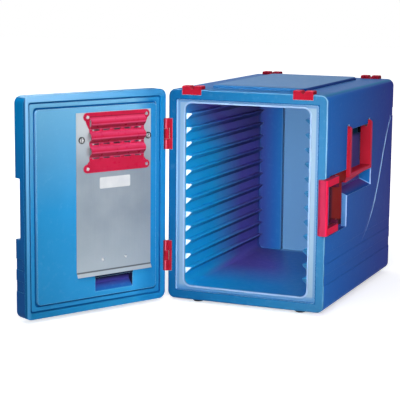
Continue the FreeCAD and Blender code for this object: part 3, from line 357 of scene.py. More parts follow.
def pocket_ends(t, across):
    """Walls that look to the front, painted lit, with painted shade behind the handle, a painted highlight
    on the far one's foot, and a painted highlight along the crease and the pockets' outer edges.
    """
    away = t.rise(t.y, HANDLE_LOW.y - 0.064, HANDLE_HIGH.y + 0.034)
    stops = ((0.0, POCKET_END_NEAR), (0.33, POCKET_END), (0.7, POCKET_END), (0.8, POCKET_END_FAR))
    end = t.ramp(away, *stops)
    floor_level = HAND_POCKET_LOW + SIDE * HAND_POCKET_SLOPE
    over_floor = t.plus(t.z, t.times(across, HAND_POCKET_SLOPE))
    foot = t.fall(over_floor, floor_level + 0.0019, floor_level + 0.0035, top=0.8)
    footed = t.mix(t.times(foot, t.rise(away, 0.7, 0.8)), end, POCKET_END_FOOT)
    behind_handle = t.rise(t.z, HANDLE_LOW.z + 0.027, HANDLE_LOW.z + 0.033)
    shaded = t.mix(behind_handle, footed, POCKET_END_SHADOW)
    return t.mix(t.rise(across, SIDE - 0.004, SIDE - 0.0025), shaded, CREASE)


def front_and_top(t, base, behind_rim):
    """A rim painted darker on the left and paler to the right by the light, and a top painted pale as a
    reflection of the light above, bluest at its front, with the raised panel's right side in painted shade.
    """
    rim = t.ramp(t.rise(t.x, -SIDE, SIDE), (0.0, RIM_LEFT), (0.6, RIM_MIDDLE), (1.0, RIM_RIGHT))
    front = t.mix(behind_rim, rim, base)
    top = t.ramp(t.rise(t.z, BODY_TOP, PANEL_TOP), (0.1, TOP_ROUND_PANEL), (0.6, TOP_PANEL))
    bluer = t.mix(t.fall(t.y, FRONT + 0.061, FRONT + 0.121, top=0.9), top, TOP_FRONT)
    panel = t.mix(t.facing(RIGHT, 0.25, 0.6), bluer, PANEL_SIDE)
    return t.mix(t.rise(t.z, BODY_TOP - 0.0015, BODY_TOP - 0.0002), front, panel)


def rim_lines(t, base):
    """A painted shade line round the mouth, a painted lit left wall in its recess, and painted highlights
    on the outer edges.
    """
    mouth = t.outside(LINER_LOW, LINER_HIGH)
    on_front = t.fall(t.y, FRONT + 0.0015, FRONT + 0.0025, top=0.8)
    lined = t.mix(t.times(t.between(mouth, 0.0004, 0.0022, 0.0008), on_front), base, RIM_LINE)
    within = t.fall(mouth, 0.0002, 0.0004)
    recess = t.times(within, t.fall(t.y, FRONT + 0.0085, FRONT + 0.0095))
    lipped = t.mix(recess, lined, t.mix(t.facing(RIGHT), RECESS, RECESS_LEFT))
    round_edge = t.times(t.between(t.y, FRONT + 0.001, FRONT + 0.0024, 0.0007), t.rise(mouth, 0.010, 0.014))
    upward = t.spread(t.z, 0.25, 0.75, BASE + 0.09, BASE + 0.49)
    right = t.times(t.rise(t.x, SIDE - 0.099, SIDE - 0.019), upward)
    top = t.rise(t.z, BODY_TOP - 0.009, BODY_TOP - 0.003, top=0.35)
    return t.mix(t.times(round_edge, t.most(right, top)), lipped, RIM_EDGE)


def shell_scuff_and_highlight(t):
    """Paler edges, part rubbed wear and part painted highlight, everywhere but on the low bands of the
    sides.
    """
    low = t.fall(t.z, BASE + 0.18, BASE + 0.19)
    side = t.rise(t.size(t.x), SIDE - 0.007, SIDE - 0.004)
    return t.spread(t.times(low, side), 1.0, 0.12, 0.0, 1.0)


# Shades of the liner and its ledges, with painted light and shade

# painted shade inside the liner: bright blue at the mouth, violet and dark deeper in
FLOOR_FRONT = (0.000, 0.020, 0.420)
FLOOR_RIGHT = (0.020, 0.130, 0.420)
FLOOR_BACK_RIGHT = (0.016, 0.130, 0.480)
INSIDE_VIOLET = (0.100, 0.078, 0.400)
INSIDE_DARK = (0.050, 0.030, 0.110)
# back wall painted in shade in its corner and lit beyond the channel
BACK_CORNER = (0.035, 0.065, 0.300)
BACK_LEFT = (0.018, 0.110, 0.400)
BACK_BY_CHANNEL = (0.016, 0.150, 0.450)
BACK_RIGHT = (0.135, 0.315, 0.570)
CHANNEL_LINE = (0.010, 0.020, 0.090)
# painted shadow under the ledges, deeper to the back
UNDER_LEDGE = (0.008, 0.015, 0.080)
# ledge front ends: painted lit on the left ledges, in painted shade on the right ones
LEFT_LEDGE_END = (0.66, 0.80, 0.92)
RIGHT_LEDGE_END = (0.014, 0.110, 0.250)
RIGHT_AND_BACK = Vector((0.92, 0.39, 0.0))


def liner_shade(t, base):
    """The liner is painted from lit bright blue at the mouth to violet shade deeper in, sooner near its
    ceiling and on its floor.
    """
    ceiling = t.rise(t.z, LINER_HIGH.z - 0.159, LINER_HIGH.z - 0.024, top=0.27)
    on_floor = t.fall(t.z, LINER_LOW.z + 0.015, LINER_LOW.z + 0.025)
    far = t.plus(t.plus(t.y, ceiling), t.times(on_floor, 0.10))
    front = t.mix(t.times(on_floor, 0.22), base, FLOOR_FRONT)
    near = t.mix(t.times(on_floor, t.rise(t.x, -0.10, 0.15, top=0.85)), front, FLOOR_RIGHT)
    back_right = t.times(on_floor, t.rise(t.along(RIGHT_AND_BACK), -0.030, 0.025))
    violet = t.mix(back_right, INSIDE_VIOLET, FLOOR_BACK_RIGHT)
    dim = t.mix(t.rise(far, -0.12, 0.10), near, violet)
    fade = t.times(t.rise(far, 0.16, 0.42, top=0.8), t.spread(back_right, 1.0, 0.1, 0.0, 1.0))
    dark = t.mix(fade, dim, INSIDE_DARK)
    return t.mix(t.rise(t.y, LINER_HIGH.y - 0.031, LINER_HIGH.y - 0.023), dark, back_wall(t))


def back_wall(t):
    """The back wall, painted in deep blue shade in its corner and painted lit and pale beyond the line of
    its channel.
    """
    stops = ((0.0, BACK_CORNER), (0.5, BACK_LEFT), (0.85, BACK_BY_CHANNEL), (1.0, BACK_RIGHT))
    wall = t.ramp(t.rise(t.x, CHANNEL_X - 0.0605, CHANNEL_X + 0.0035), *stops)
    return t.mix(t.between(t.x, CHANNEL_X - 0.001, CHANNEL_X + 0.001, 0.001), wall, CHANNEL_LINE)


def ledge_shade(node, end_colour):
    """Ledges as the liner, with painted shadow below, and front ends painted in their own end colour: lit
    on the left ledges, in shade on the right.
    """
    front = corners(node)[0].y

    def shade(t, base):
        deeper = t.spread(t.y, 0.10, 0.85, front + 0.009, front + 0.339)
        below = t.times(t.facing(-UP, 0.4, 0.7), deeper)
        shadowed = t.mix(below, liner_shade(t, base), UNDER_LEDGE)
        return t.mix(t.fall(t.y, front + 0.0005, front + 0.0015), shadowed, end_colour)

    return shade


# Shades of the door, with painted light and shade

# painted shade towards the door's hinges
DOOR_BY_HINGES = (0.010, 0.185, 0.450)
# painted light: the lower panel lit brighter, the upper panel paled by a painted reflection
DOOR_LOWER = (0.036, 0.345, 0.720)
DOOR_UPPER = (0.190, 0.440, 0.640)
# painted highlight on the walls that face the door's free edge
DOOR_WALLS = (
    (0.05, (0.080, 0.380, 0.700)),
    (0.35, (0.130, 0.450, 0.820)),
    (0.75, (0.200, 0.550, 0.900)),
    (1.0, (0.320, 0.640, 0.970)),
)
# painted shade in the grooves, a painted shadow under the plate's lip and in the finger pocket
DOOR_GROOVE = (0.004, 0.115, 0.340)
UNDER_PLATE = (0.006, 0.008, 0.030)
GRIP_POCKET = ((0.15, (0.016, 0.120, 0.450)), (0.5, (0.060, 0.055, 0.340)), (0.85, (0.004, 0.004, 0.012)))
GRIP_POCKET_CHEEK = (0.012, 0.012, 0.050)
# painted highlight on the door's rim, brightest at its top
DOOR_RIM = ((0.05, (0.075, 0.340, 0.660)), (0.45, (0.150, 0.450, 0.790)), (0.95, (0.310, 0.610, 0.910)))
DOOR_OUTSIDE = (0.012, 0.165, 0.420)
# painted shade on the free edge's corner and side, darkest low down
DOOR_CORNER = (0.008, 0.100, 0.265)
DOOR_EDGE = ((0.03, (0.013, 0.099, 0.331)), (0.5, (0.007, 0.148, 0.449)), (0.9, (0.002, 0.207, 0.537)))
# the door shell's edge colour, for rubbed wear and painted highlight
DOOR_SCUFF_AND_HIGHLIGHT = (0.050, 0.330, 0.640)


def hinge_side(t, base):
    """Painted shade: deeper blue towards the door's hinges."""
    near = t.fall(t.along(DOOR_ALONG), DOOR_FREE - 0.385, DOOR_FREE - 0.335, top=0.95)
    return t.mix(near, base, DOOR_BY_HINGES)


def door_height(t):
    """From nothing low on the door to one at its top."""
    return t.rise(t.z, BASE + 0.09, BASE + 0.55)


def panel_shade(t, base):
    """Dark grooves in painted shade beside walls with a painted highlight, a painted reflection paling the
    upper door, a painted shadow under the plate's lip, and the finger pocket.
    """
    sunk = t.along(DOOR_OUT)
    lower = t.mix(t.fall(t.z, BASE + 0.27, BASE + 0.39, top=0.42), base, DOOR_LOWER)
    upper = t.mix(t.rise(t.z, BASE + 0.27, BASE + 0.55, top=0.75), lower, DOOR_UPPER)
    walls = t.ramp(door_height(t), *DOOR_WALLS)
    walled = t.mix(t.facing(DOOR_ALONG, 0.3, 0.7), hinge_side(t, upper), walls)
    grooved = t.mix(t.fall(sunk, DOOR_FACE - 0.0105, DOOR_FACE - 0.0085), walled, DOOR_GROOVE)
    near, far = along_door(GRIP_POCKET_IN), along_door(GRIP_POCKET_IN + GRIP_POCKET_W)
    across = t.between(t.along(DOOR_ALONG), near, far, 0.001)
    under_plate = t.between(t.z, GRIP_POCKET_HIGH - 0.0005, PLATE_LOW, 0.0008)
    shadowed = t.mix(t.times(under_plate, t.times(across, 0.96)), grooved, UNDER_PLATE)
    mouth = t.times(across, t.between(t.z, GRIP_POCKET_LOW - 0.001, GRIP_POCKET_HIGH + 0.001, 0.0005))
    pocket = t.times(mouth, t.fall(sunk, DOOR_FACE - 0.004, DOOR_FACE - 0.0025))
    return t.mix(pocket, shadowed, grip_pocket(t))


def grip_pocket(t):
    """The finger pocket, painted in violet shade below and black shadow above, with a cheek in painted
    shade.
    """
    inner = t.ramp(t.rise(t.z, GRIP_POCKET_LOW, GRIP_POCKET_HIGH), *GRIP_POCKET)
    return t.mix(t.facing(DOOR_ALONG, 0.3, 0.7), inner, GRIP_POCKET_CHEEK)


def panel_scuff_and_highlight(t):
    """Paler edges, part rubbed wear and part painted highlight, on the door's raised middle alone."""
    return t.rise(t.along(DOOR_OUT), DOOR_FACE - 0.006, DOOR_FACE - 0.004, top=0.8)


def door_shell_shade(t, base):
    """The door's rim, with a painted highlight towards its free edge and along its top, a deeper outside,
    and a free edge in painted shade, darkest low down.
    """
    free = t.along(DOOR_ALONG)
    height = door_height(t)
    left = t.rise(free, DOOR_FREE - 0.020, DOOR_FREE - 0.012, top=0.9)
    top = t.rise(t.z, DOOR_TOP - 0.021, DOOR_TOP - 0.014, top=0.8)
    top_to_free = t.times(top, t.spread(free, 0.1, 1.0, DOOR_FREE - 0.40, DOOR_FREE))
    pale = t.mix(t.most(left, top_to_free), hinge_side(t, base), t.ramp(height, *DOOR_RIM))
    outside = t.mix(t.facing(-DOOR_OUT), pale, DOOR_OUTSIDE)
    turned = t.mix(t.rise(free, DOOR_FREE - 0.008, DOOR_FREE - 0.0055), outside, DOOR_CORNER)
    return t.mix(t.facing(DOOR_ALONG), turned, t.ramp(height, *DOOR_EDGE))


# Shades of the red pieces, with painted light and shade

# painted light on faces that look sideways and up
RED_SIDE = (0.600, 0.020, 0.085)
RED_TOP = (0.560, 0.014, 0.034)
# painted light on the clamp: pink to the right, brightest on its sideways faces
CLAMP_RIGHT = (0.390, 0.024, 0.068)
CLAMP_SIDE = (0.900, 0.012, 0.075)
# painted shadow of the clamp on the bracket's front and foot
BRACKET_FRONT = (0.045, 0.010, 0.040)
BRACKET_FOOT = (0.012, 0.004, 0.010)
# painted highlight down the outer knuckles, painted shade left of the middle one
KNUCKLE_LINE = (0.640, 0.110, 0.180)
KNUCKLE_LEFT = (0.090, 0.008, 0.012)
# painted light on the lugs' tops
LUG_TOP = (0.560, 0.060, 0.100)
# painted light and shade on the cover's waves: lit above, highlighted crests, shaded below, a shaded fold
WAVE_ABOVE = (0.520, 0.035, 0.110)
WAVE_CREST = (0.560, 0.060, 0.150)
WAVE_BELOW = (0.290, 0.012, 0.034)
COVER_FOLD = (0.230, 0.008, 0.030)


def red_shade(t, base):
    """Painted light: brighter on the faces that look out sideways or up."""
    return t.mix(t.facing(UP), t.mix(t.facing(RIGHT), base, RED_SIDE), RED_TOP)


def clamp_shade(t, base):
    """The clamp, with painted light: brightest on the faces that look out sideways and pink to the right on
    its front.
    """
    front = t.mix(t.rise(t.x, SIDE - 0.019, SIDE + 0.003), base, CLAMP_RIGHT)
    return t.mix(t.facing(RIGHT), front, CLAMP_SIDE)


def bracket_shade(t, base):
    """The bracket, with a painted shadow of the clamp at its front and along its foot."""
    low = corners("clamp_bracket")[0]
    front = t.mix(t.fall(t.y, low.y + 0.041, low.y + 0.055, top=0.85), base, BRACKET_FRONT)
    return t.mix(t.fall(t.z, low.z + 0.012, low.z + 0.018, top=0.9), front, BRACKET_FOOT)


def body_leaf_shade(t, base):
    """A painted pink highlight down the outer knuckles."""
    return t.mix(t.between(t.x, HINGE.x - 0.0008, HINGE.x + 0.0008, 0.0016), base, KNUCKLE_LINE)


def door_leaf_shade(t, base):
    """The middle knuckle, in painted shade on its left."""
    return t.mix(t.fall(t.x, HINGE.x - 0.003, HINGE.x - 0.0005), base, KNUCKLE_LEFT)


def lug_shade(t, base):
    """Lugs, with painted light making them paler on top."""
    return t.mix(t.facing(UP, 0.3, 0.7), base, LUG_TOP)


def cover_shade(t, base):
    """Slopes painted lit and pale above and in dark shade below, painted highlights on the crests, and a
    fold near the cover's top darkened with painted shade.
    """
    above = t.mix(t.facing(UP, 0.15, 0.75), base, WAVE_ABOVE)
    crest = t.mix(t.facing(-UP, 0.02, 0.15), above, WAVE_CREST)
    fold = t.mix(t.between(t.z, COVER_HIGH - 0.0115, COVER_HIGH - 0.0098, 0.0008), crest, COVER_FOLD)
    return t.mix(t.facing(-UP, 0.22, 0.50), fold, WAVE_BELOW)


# Shades of the steel pieces and the seal, with painted light and shade

# painted light on the plate: paler at top and foot, lit behind the upper slots, shaded behind the lowest, a
# shaded fold over a lit lip
PLATE_TOP = (0.560, 0.610, 0.640)
PLATE_FOOT = (0.430, 0.495, 0.540)
PLATE_LIP = (0.480, 0.550, 0.600)
PLATE_FOLD = (0.06, 0.07, 0.08)
BEHIND_SLOTS = (0.900, 0.800, 0.820)
BEHIND_LOW_SLOTS = (0.140, 0.020, 0.040)
LOCK_RING = (0.015, 0.016, 0.020)
# painted light on the seal's band: paler to the right
SEAL_LEFT = (0.16, 0.28, 0.42)
SEAL_RIGHT = (0.21, 0.33, 0.44)
SEAL_BORDER = (0.045, 0.170, 0.370)
SEAL_FOOT = (0.050, 0.200, 0.420)
BEAD_DEEP = (0.215, 0.345, 0.55)
BEAD_PALE = (0.250, 0.380, 0.59)


def plate_shade(t, base):
    """Painted paler at its top and foot, painted light behind the upper slots and dark red shade behind the
    lowest, with a fold in painted shade above a lip painted lit.
    """
    top = t.mix(t.rise(t.z, BASE + 0.37, BASE + 0.47, top=0.8), base, PLATE_TOP)
    foot = t.mix(t.fall(t.z, BASE + 0.12, BASE + 0.24, top=0.5), top, PLATE_FOOT)
    near, far = along_door(COVER_IN + 0.014), along_door(COVER_IN + COVER_W - 0.014)
    across = t.between(t.along(DOOR_ALONG), near, far, 0.002)
    behind_cover = t.times(across, t.between(t.z, COVER_LOW + 0.010, COVER_HIGH - 0.010, 0.002))
    low_slots = t.fall(t.z, COVER_LOW + 0.054, COVER_LOW + 0.056)
    slots = t.mix(behind_cover, foot, t.mix(low_slots, BEHIND_SLOTS, BEHIND_LOW_SLOTS))
    lip = t.mix(t.fall(t.z, PLATE_LOW + 0.0085, PLATE_LOW + 0.0095), slots, PLATE_LIP)
    fold = t.between(t.z, PLATE_LOW + 0.0098, PLATE_LOW + 0.0122, 0.001)
    return t.mix(t.times(fold, 0.8), lip, PLATE_FOLD)


def lock_shade(node):
    """A lock's head, with a dark ring and dark sides."""
    low, high = corners(node)
    centre = (low + high) / 2

    def shade(t, base):
        offset = t.vectors("SUBTRACT", t.where, centre, "Vector")
        away = t.length(t.vectors("CROSS_PRODUCT", offset, DOOR_OUT, "Vector"))
        on_head = t.fall(away, LOCK_RADIUS - 0.0004, LOCK_RADIUS + 0.0004)
        bright = t.times(on_head, t.facing(DOOR_OUT, 0.6, 0.9))
        return t.mix(bright, LOCK_RING, base)

    return shade


def seal_material():
    """A raised bead, and a flat band painted paler to the right by the light, blue along its border and
    below.
    """
    t = Tree("pale_seal_look")
    band = t.ramp(t.rise(t.x, -0.18, 0.18), (0.0, SEAL_LEFT), (1.0, SEAL_RIGHT))
    on_border = t.between(t.outside(SEAL_LOW, SEAL_HIGH), -0.0058, -0.001, 0.0015)
    border = t.mix(t.times(on_border, 0.75), band, SEAL_BORDER)
    footed = t.mix(t.fall(t.z, SEAL_LOW.z + 0.010, SEAL_LOW.z + 0.014, top=0.7), border, SEAL_FOOT)
    bead = t.ramp(t.noise(scale=20.0, detail=4.0), (0.35, BEAD_DEEP), (0.65, BEAD_PALE))
    colour = t.mix(t.fall(t.y, SEAL_LOW.y + 0.0007, SEAL_LOW.y + 0.0025), footed, bead)
    fine = t.noise(scale=700.0, detail=2.0)
    return t.finish(colour, t.spread(fine, 0.45, 0.62), t.bump(fine, strength=0.3, distance=0.0001))


def foam_material():
    t = Tree("foam_look")
    cells = t.noise(scale=350.0, detail=4.0, rough=0.7)
    colour = t.ramp(cells, (0.3, (0.62, 0.52, 0.30)), (0.7, (0.84, 0.76, 0.52)))
    return t.finish(colour, t.spread(cells, 0.85, 0.98), t.bump(cells, strength=0.7, distance=0.0006))


def label_material():
    t = Tree("blank_label_look")
    fibre = t.noise(scale=500.0, detail=3.0)
    drift = t.noise(scale=30.0, detail=3.0)
    colour = t.ramp(drift, (0.3, (0.53, 0.55, 0.57)), (0.7, (0.60, 0.61, 0.62)))
    return t.finish(colour, t.spread(fibre, 0.4, 0.55), t.bump(fibre, strength=0.1, distance=0.00005))


# Materials: colour, deeper colour and edge colour (rubbed wear and painted highlight) of the plastics,
# colour and deeper colour of the metals

SHELL = ((0.022, 0.265, 0.560), (0.016, 0.235, 0.510), (0.40, 0.68, 0.92))
LINER = ((0.012, 0.400, 0.780), (0.008, 0.360, 0.720), (0.12, 0.50, 0.85))
RED = ((0.460, 0.016, 0.036), (0.410, 0.013, 0.030), (0.62, 0.06, 0.13))
DARK_RED = ((0.350, 0.010, 0.027), (0.300, 0.008, 0.022), (0.50, 0.05, 0.09))
CLAMP_RED = ((0.400, 0.014, 0.040), (0.350, 0.012, 0.034), (0.62, 0.08, 0.15))
BRACKET_RED = ((0.330, 0.018, 0.016), (0.290, 0.014, 0.013), (0.40, 0.04, 0.04))
COVER_RED = ((0.480, 0.010, 0.050), (0.410, 0.008, 0.038), (0.70, 0.12, 0.22))
RUBBER = ((0.018, 0.018, 0.019), (0.010, 0.010, 0.011), (0.05, 0.05, 0.05))
BLACK = ((0.022, 0.022, 0.024), (0.014, 0.014, 0.015), (0.06, 0.06, 0.06))
SHEET_STEEL = ((0.36, 0.42, 0.47), (0.31, 0.37, 0.42))
STEEL = ((0.62, 0.63, 0.65), (0.52, 0.53, 0.55))
DARK_STEEL = ((0.030, 0.028, 0.030), (0.018, 0.017, 0.018))
PLATE_STEEL = ((0.315, 0.365, 0.415), (0.26, 0.315, 0.365))
LOCK_STEEL = ((0.60, 0.61, 0.63), (0.46, 0.47, 0.49))
BRASS = ((0.72, 0.54, 0.22), (0.60, 0.44, 0.16))
DRAWN_UP = (60.0, 60.0, 1.2)
DRAWN_ACROSS = (8.0, 8.0, 40.0)
FINE = (40.0, 40.0, 40.0)
COARSE = (20.0, 20.0, 20.0)

looks = {
    "blue_shell": moulded(
        "blue_shell_look",
        *SHELL,
        rough=0.36,
        gloss=0.05,
        edge_band=0.0016,
        shade=shell_shade,
        ior=1.15,
        scuff_and_highlight_share=shell_scuff_and_highlight,
    ),
    "blue_liner": moulded("blue_liner_look", *LINER, rough=0.36, gloss=0.20, shade=liner_shade),
    "red_plastic": moulded("red_plastic_look", *RED, rough=0.34, gloss=0.05, shade=red_shade, ior=1.15),
    "red_cover": moulded("red_cover_look", *COVER_RED, rough=0.30, gloss=0.15, shade=cover_shade),
    "black_rubber": moulded("black_rubber_look", *RUBBER, rough=0.62),
    "black_plastic": moulded("black_plastic_look", *BLACK, rough=0.42),
    "sheet_steel": brushed("sheet_steel_look", *SHEET_STEEL, rough=0.38, stretch=DRAWN_UP),
    "steel": brushed("steel_look", *STEEL, rough=0.26, stretch=DRAWN_ACROSS),
    "brass": brushed("brass_look", *BRASS, rough=0.30, stretch=COARSE),
    "pale_seal": seal_material(),
    "foam": foam_material(),
}
dark_steel = brushed("dark_steel_look", *DARK_STEEL, rough=0.45, stretch=DRAWN_ACROSS, metal=0.3)
own_looks = {
    "door_outer_shell": moulded(
        "door_shell_look",
        *SHELL[:2],
        DOOR_SCUFF_AND_HIGHLIGHT,
        rough=0.36,
        gloss=0.05,
        edge_band=0.0015,
        shade=door_shell_shade,
        ior=1.15,
    ),
    "door_inner_panel": moulded(
        "door_panel_look",
        *SHELL,
        rough=0.36,
        gloss=0.10,
        edge_band=0.002,
        shade=panel_shade,
        ior=1.3,
        scuff_and_highlight_share=panel_scuff_and_highlight,
    ),
    "side_clamp": moulded(
        "clamp_look", *CLAMP_RED, rough=0.34, gloss=0.05, shade=clamp_shade, ior=1.1
    ),
    "clamp_bracket": moulded(
        "bracket_look", *BRACKET_RED, rough=0.40, gloss=0.05, shade=bracket_shade, ior=1.1
    ),
    "right_handle_pins": dark_steel,
    "left_handle_pins": dark_steel,
    "heater_plate": brushed(
        "plate_look", *PLATE_STEEL, rough=0.40, stretch=DRAWN_UP, metal=0.6, shade=plate_shade
    ),
}
for side, end_colour in (("left", LEFT_LEDGE_END), ("right", RIGHT_LEDGE_END)):
    ledges = f"{side}_tray_ledges"
    shade = ledge_shade(ledges, end_colour)
    own_looks[ledges] = moulded(f"{side}_ledge_look", *LINER, rough=0.36, gloss=0.20, shade=shade)
    lock = f"{side}_plate_lock"
    shade = lock_shade(lock)
    own_looks[lock] = brushed(
        f"{lock}_look", *LOCK_STEEL, rough=0.24, stretch=FINE, metal=0.5, shade=shade
    )
dark_red_shades = {
    "stacking_lug": ("lug_look", lug_shade),
    "body_hinge_leaf": ("body_leaf_look", body_leaf_shade),
    "door_hinge_leaf": ("door_leaf_look", door_leaf_shade),
}
for ending, (name, shade) in dark_red_shades.items():
    look = moulded(name, *DARK_RED, rough=0.34, gloss=0.03, shade=shade, ior=1.1)
    own_looks.update({node: look for node in cad_nodes if node.endswith(ending)})
for row in frame["record"]["subparts"]:
    mesh = cad_nodes[row["node"]].data
    mesh.materials.clear()
    mesh.materials.append(own_looks.get(row["node"], looks[row["material_slot"]]))


# Pieces on the door


def make_piece(name, bm, look, body):
    bmesh.ops.recalc_face_normals(bm, faces=bm.faces)
    mesh = bpy.data.meshes.new(name)
    bm.to_mesh(mesh)
    bm.free()
    mesh.materials.append(look)
    piece = bpy.data.objects.new(name, mesh)
    bpy.context.scene.collection.objects.link(piece)
    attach(piece, body)
    return piece


def stack_outlines(bm, outlines):
    """A closed form from outlines on the door, each given with its height out of the plate's face."""
    rings = []
    for outline, out in outlines:
        rings.append([bm.verts.new(on_door(across, out, up)) for across, up in outline])
    count = len(rings[0])
    for low, high in zip(rings, rings[1:]):
        for k in range(count):
            after = (k + 1) % count
            bm.faces.new((low[k], low[after], high[after], high[k]))
    bm.faces.new(rings[-1])
    bm.faces.new(list(reversed(rings[0])))


def rounded_outline(middle, w, h, radius, steps):
    """A rectangle with rounded corners."""
    points = []
    for cx, cy, start in ((1, 1, 0), (-1, 1, 90), (-1, -1, 180), (1, -1, 270)):
        for k in range(steps + 1):
            angle = math.radians(start + 90 * k / steps)
            x = middle[0] + cx * (w / 2 - radius) + radius * math.cos(angle)
            y = middle[1] + cy * (h / 2 - radius) + radius * math.sin(angle)
            points.append((x, y))
    return points


def blank_label():
    """A blank sticker with rounded corners and a thin bevelled rim."""
    bm = bmesh.new()
    w, h = LABEL_SIZE
    outlines = []
    for inset, out in ((0.0, 0.0), (0.0, LABEL_EDGE), (LABEL_BEVEL, LABEL_THICK)):
        outline = rounded_outline(LABEL_MIDDLE, w - 2 * inset, h - 2 * inset, LABEL_RADIUS, steps=5)
        outlines.append((outline, out))
    stack_outlines(bm, outlines)
    return make_piece("blank_label", bm, label_material(), "door")


def web_outline(side, way, tab, bend, end, steps=10):
    """A web beside the cover, from a tab's outer edge in a curve to the cover's side."""
    start = Vector((side + way * WEB_OUT, tab + bend * 0.2))
    middle = Vector((side + way * WEB_BEND_OUT, tab + bend))
    finish = Vector((side - way * WEB_OVERLAP, tab + end))
    outline = [Vector((side - way * WEB_OVERLAP, tab))]
    for k in range(steps + 1):
        f = k / steps
        outline.append(start * (1 - f) ** 2 + middle * (2 * f * (1 - f)) + finish * f ** 2)
    return outline


def cover_corner_webs():
    """Thin webs that let the cover's four tabs run on into its sides."""
    bm = bmesh.new()
    upper_tab = COVER_HIGH - BASE - TAB_HALF
    lower_tab = COVER_LOW - BASE + TAB_HALF
    for side, way in ((COVER_IN, -1), (COVER_IN + COVER_W, 1)):
        for tab, bend, end in ((upper_tab, -0.020, -0.034), (lower_tab, 0.010, 0.021)):
            outline = web_outline(side, way, tab, bend, end)
            centre = sum(outline, Vector((0.0, 0.0))) / len(outline)
            outlines = []
            for share, out in ((1.0, 0.0002), (1.0, 0.0011), (0.95, 0.0014)):
                outlines.append(([centre + (point - centre) * share for point in outline], out))
            stack_outlines(bm, outlines)
    return make_piece("cover_corner_webs", bm, looks["red_cover"], "door")


blank_label()
cover_corner_webs()


# Floor, light and camera

FLOOR_DEEP = (0.88, 0.88, 0.88)
FLOOR_PALE = (0.90, 0.90, 0.90)
FLOOR_SIZE = 12.0
FLOOR_LIFT_NEAR, FLOOR_LIFT_FAR = 0.55, 1.0
FLOOR_NEAR, FLOOR_FAR = 0.6, 1.3
SKY_LIGHT = 0.22
SKY_SEEN = 1.0
WHITE = (1.0, 1.0, 1.0, 1.0)
CAMERA_PLACE = (1.2784, -3.6131, 0.8751)
CAMERA_YAW, CAMERA_PITCH, CAMERA_ROLL = -0.4023, -0.1640, 0.0094
CAMERA_LENS = 124.43
CAMERA_SENSOR = 36.0


def aim(thing, target):
    thing.rotation_mode = "QUATERNION"
    thing.rotation_quaternion = (Vector(target) - thing.location).to_track_quat("-Z", "Y")


def area_light(name, place, target, size, power, spread=180):
    data = bpy.data.lights.new(name, "AREA")
    data.shape = "SQUARE"
    data.size = size
    data.energy = power
    data.spread = math.radians(spread)
    lamp = bpy.data.objects.new(name, data)
    lamp.location = place
    aim(lamp, target)
    lamp.visible_camera = False
    bpy.context.scene.collection.objects.link(lamp)


def white_rays(nodes, links):
    """One for the rays that see the surroundings: straight, mirrored or through glass."""
    path = nodes.new("ShaderNodeLightPath")
    total = path.outputs["Is Camera Ray"]
    for name in ("Is Glossy Ray", "Is Transmission Ray"):
        most = nodes.new("ShaderNodeMath")
        most.operation = "MAXIMUM"
        links.new(total, most.inputs[0])
        links.new(path.outputs[name], most.inputs[1])
        total = most.outputs[0]
    return total


def floor():
    """A white floor that keeps the shadow, lifted to full white away from the object."""
    t = Tree("floor_look")
    t.nodes.remove(t.bsdf)
    colour = t.ramp(t.noise(scale=2.0, detail=2.0), (0.3, FLOOR_DEEP), (0.7, FLOOR_PALE))
    away = t.spread(t.length(t.where), FLOOR_LIFT_NEAR, FLOOR_LIFT_FAR, FLOOR_NEAR, FLOOR_FAR)
    shown = t.times(white_rays(t.nodes, t.links), away)
    plain = t.add("ShaderNodeBsdfDiffuse", {"Color": colour}).outputs["BSDF"]
    lift = t.add("ShaderNodeEmission", {"Strength": shown}).outputs["Emission"]
    both = t.add("ShaderNodeAddShader", {0: plain, 1: lift}).outputs[0]
    t.links.new(both, t.nodes["Material Output"].inputs["Surface"])
    bm = bmesh.new()
    bmesh.ops.create_grid(bm, x_segments=4, y_segments=4, size=FLOOR_SIZE)
    mesh = bpy.data.meshes.new("floor")
    bm.to_mesh(mesh)
    bm.free()
    mesh.materials.append(t.material)
    ground = bpy.data.objects.new("floor", mesh)
    bpy.context.scene.collection.objects.link(ground)


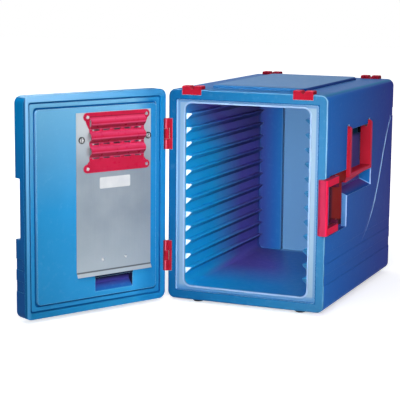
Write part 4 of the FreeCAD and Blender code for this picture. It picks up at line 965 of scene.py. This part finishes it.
def sky():
    """Soft white light, with full white where the surroundings are seen."""
    world = bpy.data.worlds.new("studio")
    bpy.context.scene.world = world
    world.use_nodes = True
    nodes, links = world.node_tree.nodes, world.node_tree.links
    soft = nodes["Background"]
    seen = nodes.new("ShaderNodeBackground")
    for background, level in ((soft, SKY_LIGHT), (seen, SKY_SEEN)):
        background.inputs["Color"].default_value = WHITE
        background.inputs["Strength"].default_value = level
    choose = nodes.new("ShaderNodeMixShader")
    links.new(white_rays(nodes, links), choose.inputs[0])
    links.new(soft.outputs[0], choose.inputs[1])
    links.new(seen.outputs[0], choose.inputs[2])
    links.new(choose.outputs[0], nodes["World Output"].inputs["Surface"])


def camera():
    flat = math.cos(CAMERA_PITCH)
    ahead = Vector((math.sin(CAMERA_YAW) * flat, math.cos(CAMERA_YAW) * flat, math.sin(CAMERA_PITCH)))
    right = Vector((math.cos(CAMERA_YAW), -math.sin(CAMERA_YAW), 0.0))
    up = right.cross(ahead)
    across = math.cos(CAMERA_ROLL) * right + math.sin(CAMERA_ROLL) * up
    upright = math.cos(CAMERA_ROLL) * up - math.sin(CAMERA_ROLL) * right
    data = bpy.data.cameras.new("camera")
    data.sensor_width = CAMERA_SENSOR
    data.lens = CAMERA_LENS
    made = bpy.data.objects.new("camera", data)
    turn = Matrix((across, upright, -ahead)).transposed().to_4x4()
    made.matrix_world = Matrix.Translation(CAMERA_PLACE) @ turn
    bpy.context.scene.collection.objects.link(made)
    bpy.context.scene.camera = made


floor()
sky()
area_light("key", (1.45, -2.9, 1.5), target=(0.0, -0.2, 0.3), size=1.0, power=22.0)
area_light("left_front", (-0.4, -3.0, 1.2), target=(0.0, -0.2, 0.3), size=1.2, power=4.0)
area_light("overhead", (-0.2, 0.5, 2.4), target=(0.0, 0.1, 0.5), size=1.6, power=12.0)
area_light("back_left", (-2.4, 2.2, 1.5), target=(0.0, 0.0, 0.3), size=1.4, power=14.0)
area_light("back_right", (2.6, 2.0, 1.3), target=(0.0, 0.1, 0.3), size=1.2, power=5.0)
area_light("door_top", (0.12, -1.5, 1.50), target=(-0.36, -0.55, 0.58), size=0.4, power=1.8, spread=60)
area_light("into_box", (0.42, -1.6, 0.50), target=(-0.05, 0.0, 0.30), size=0.4, power=2.0, spread=50)
camera()
bpy.context.scene.view_settings.view_transform = "Standard"
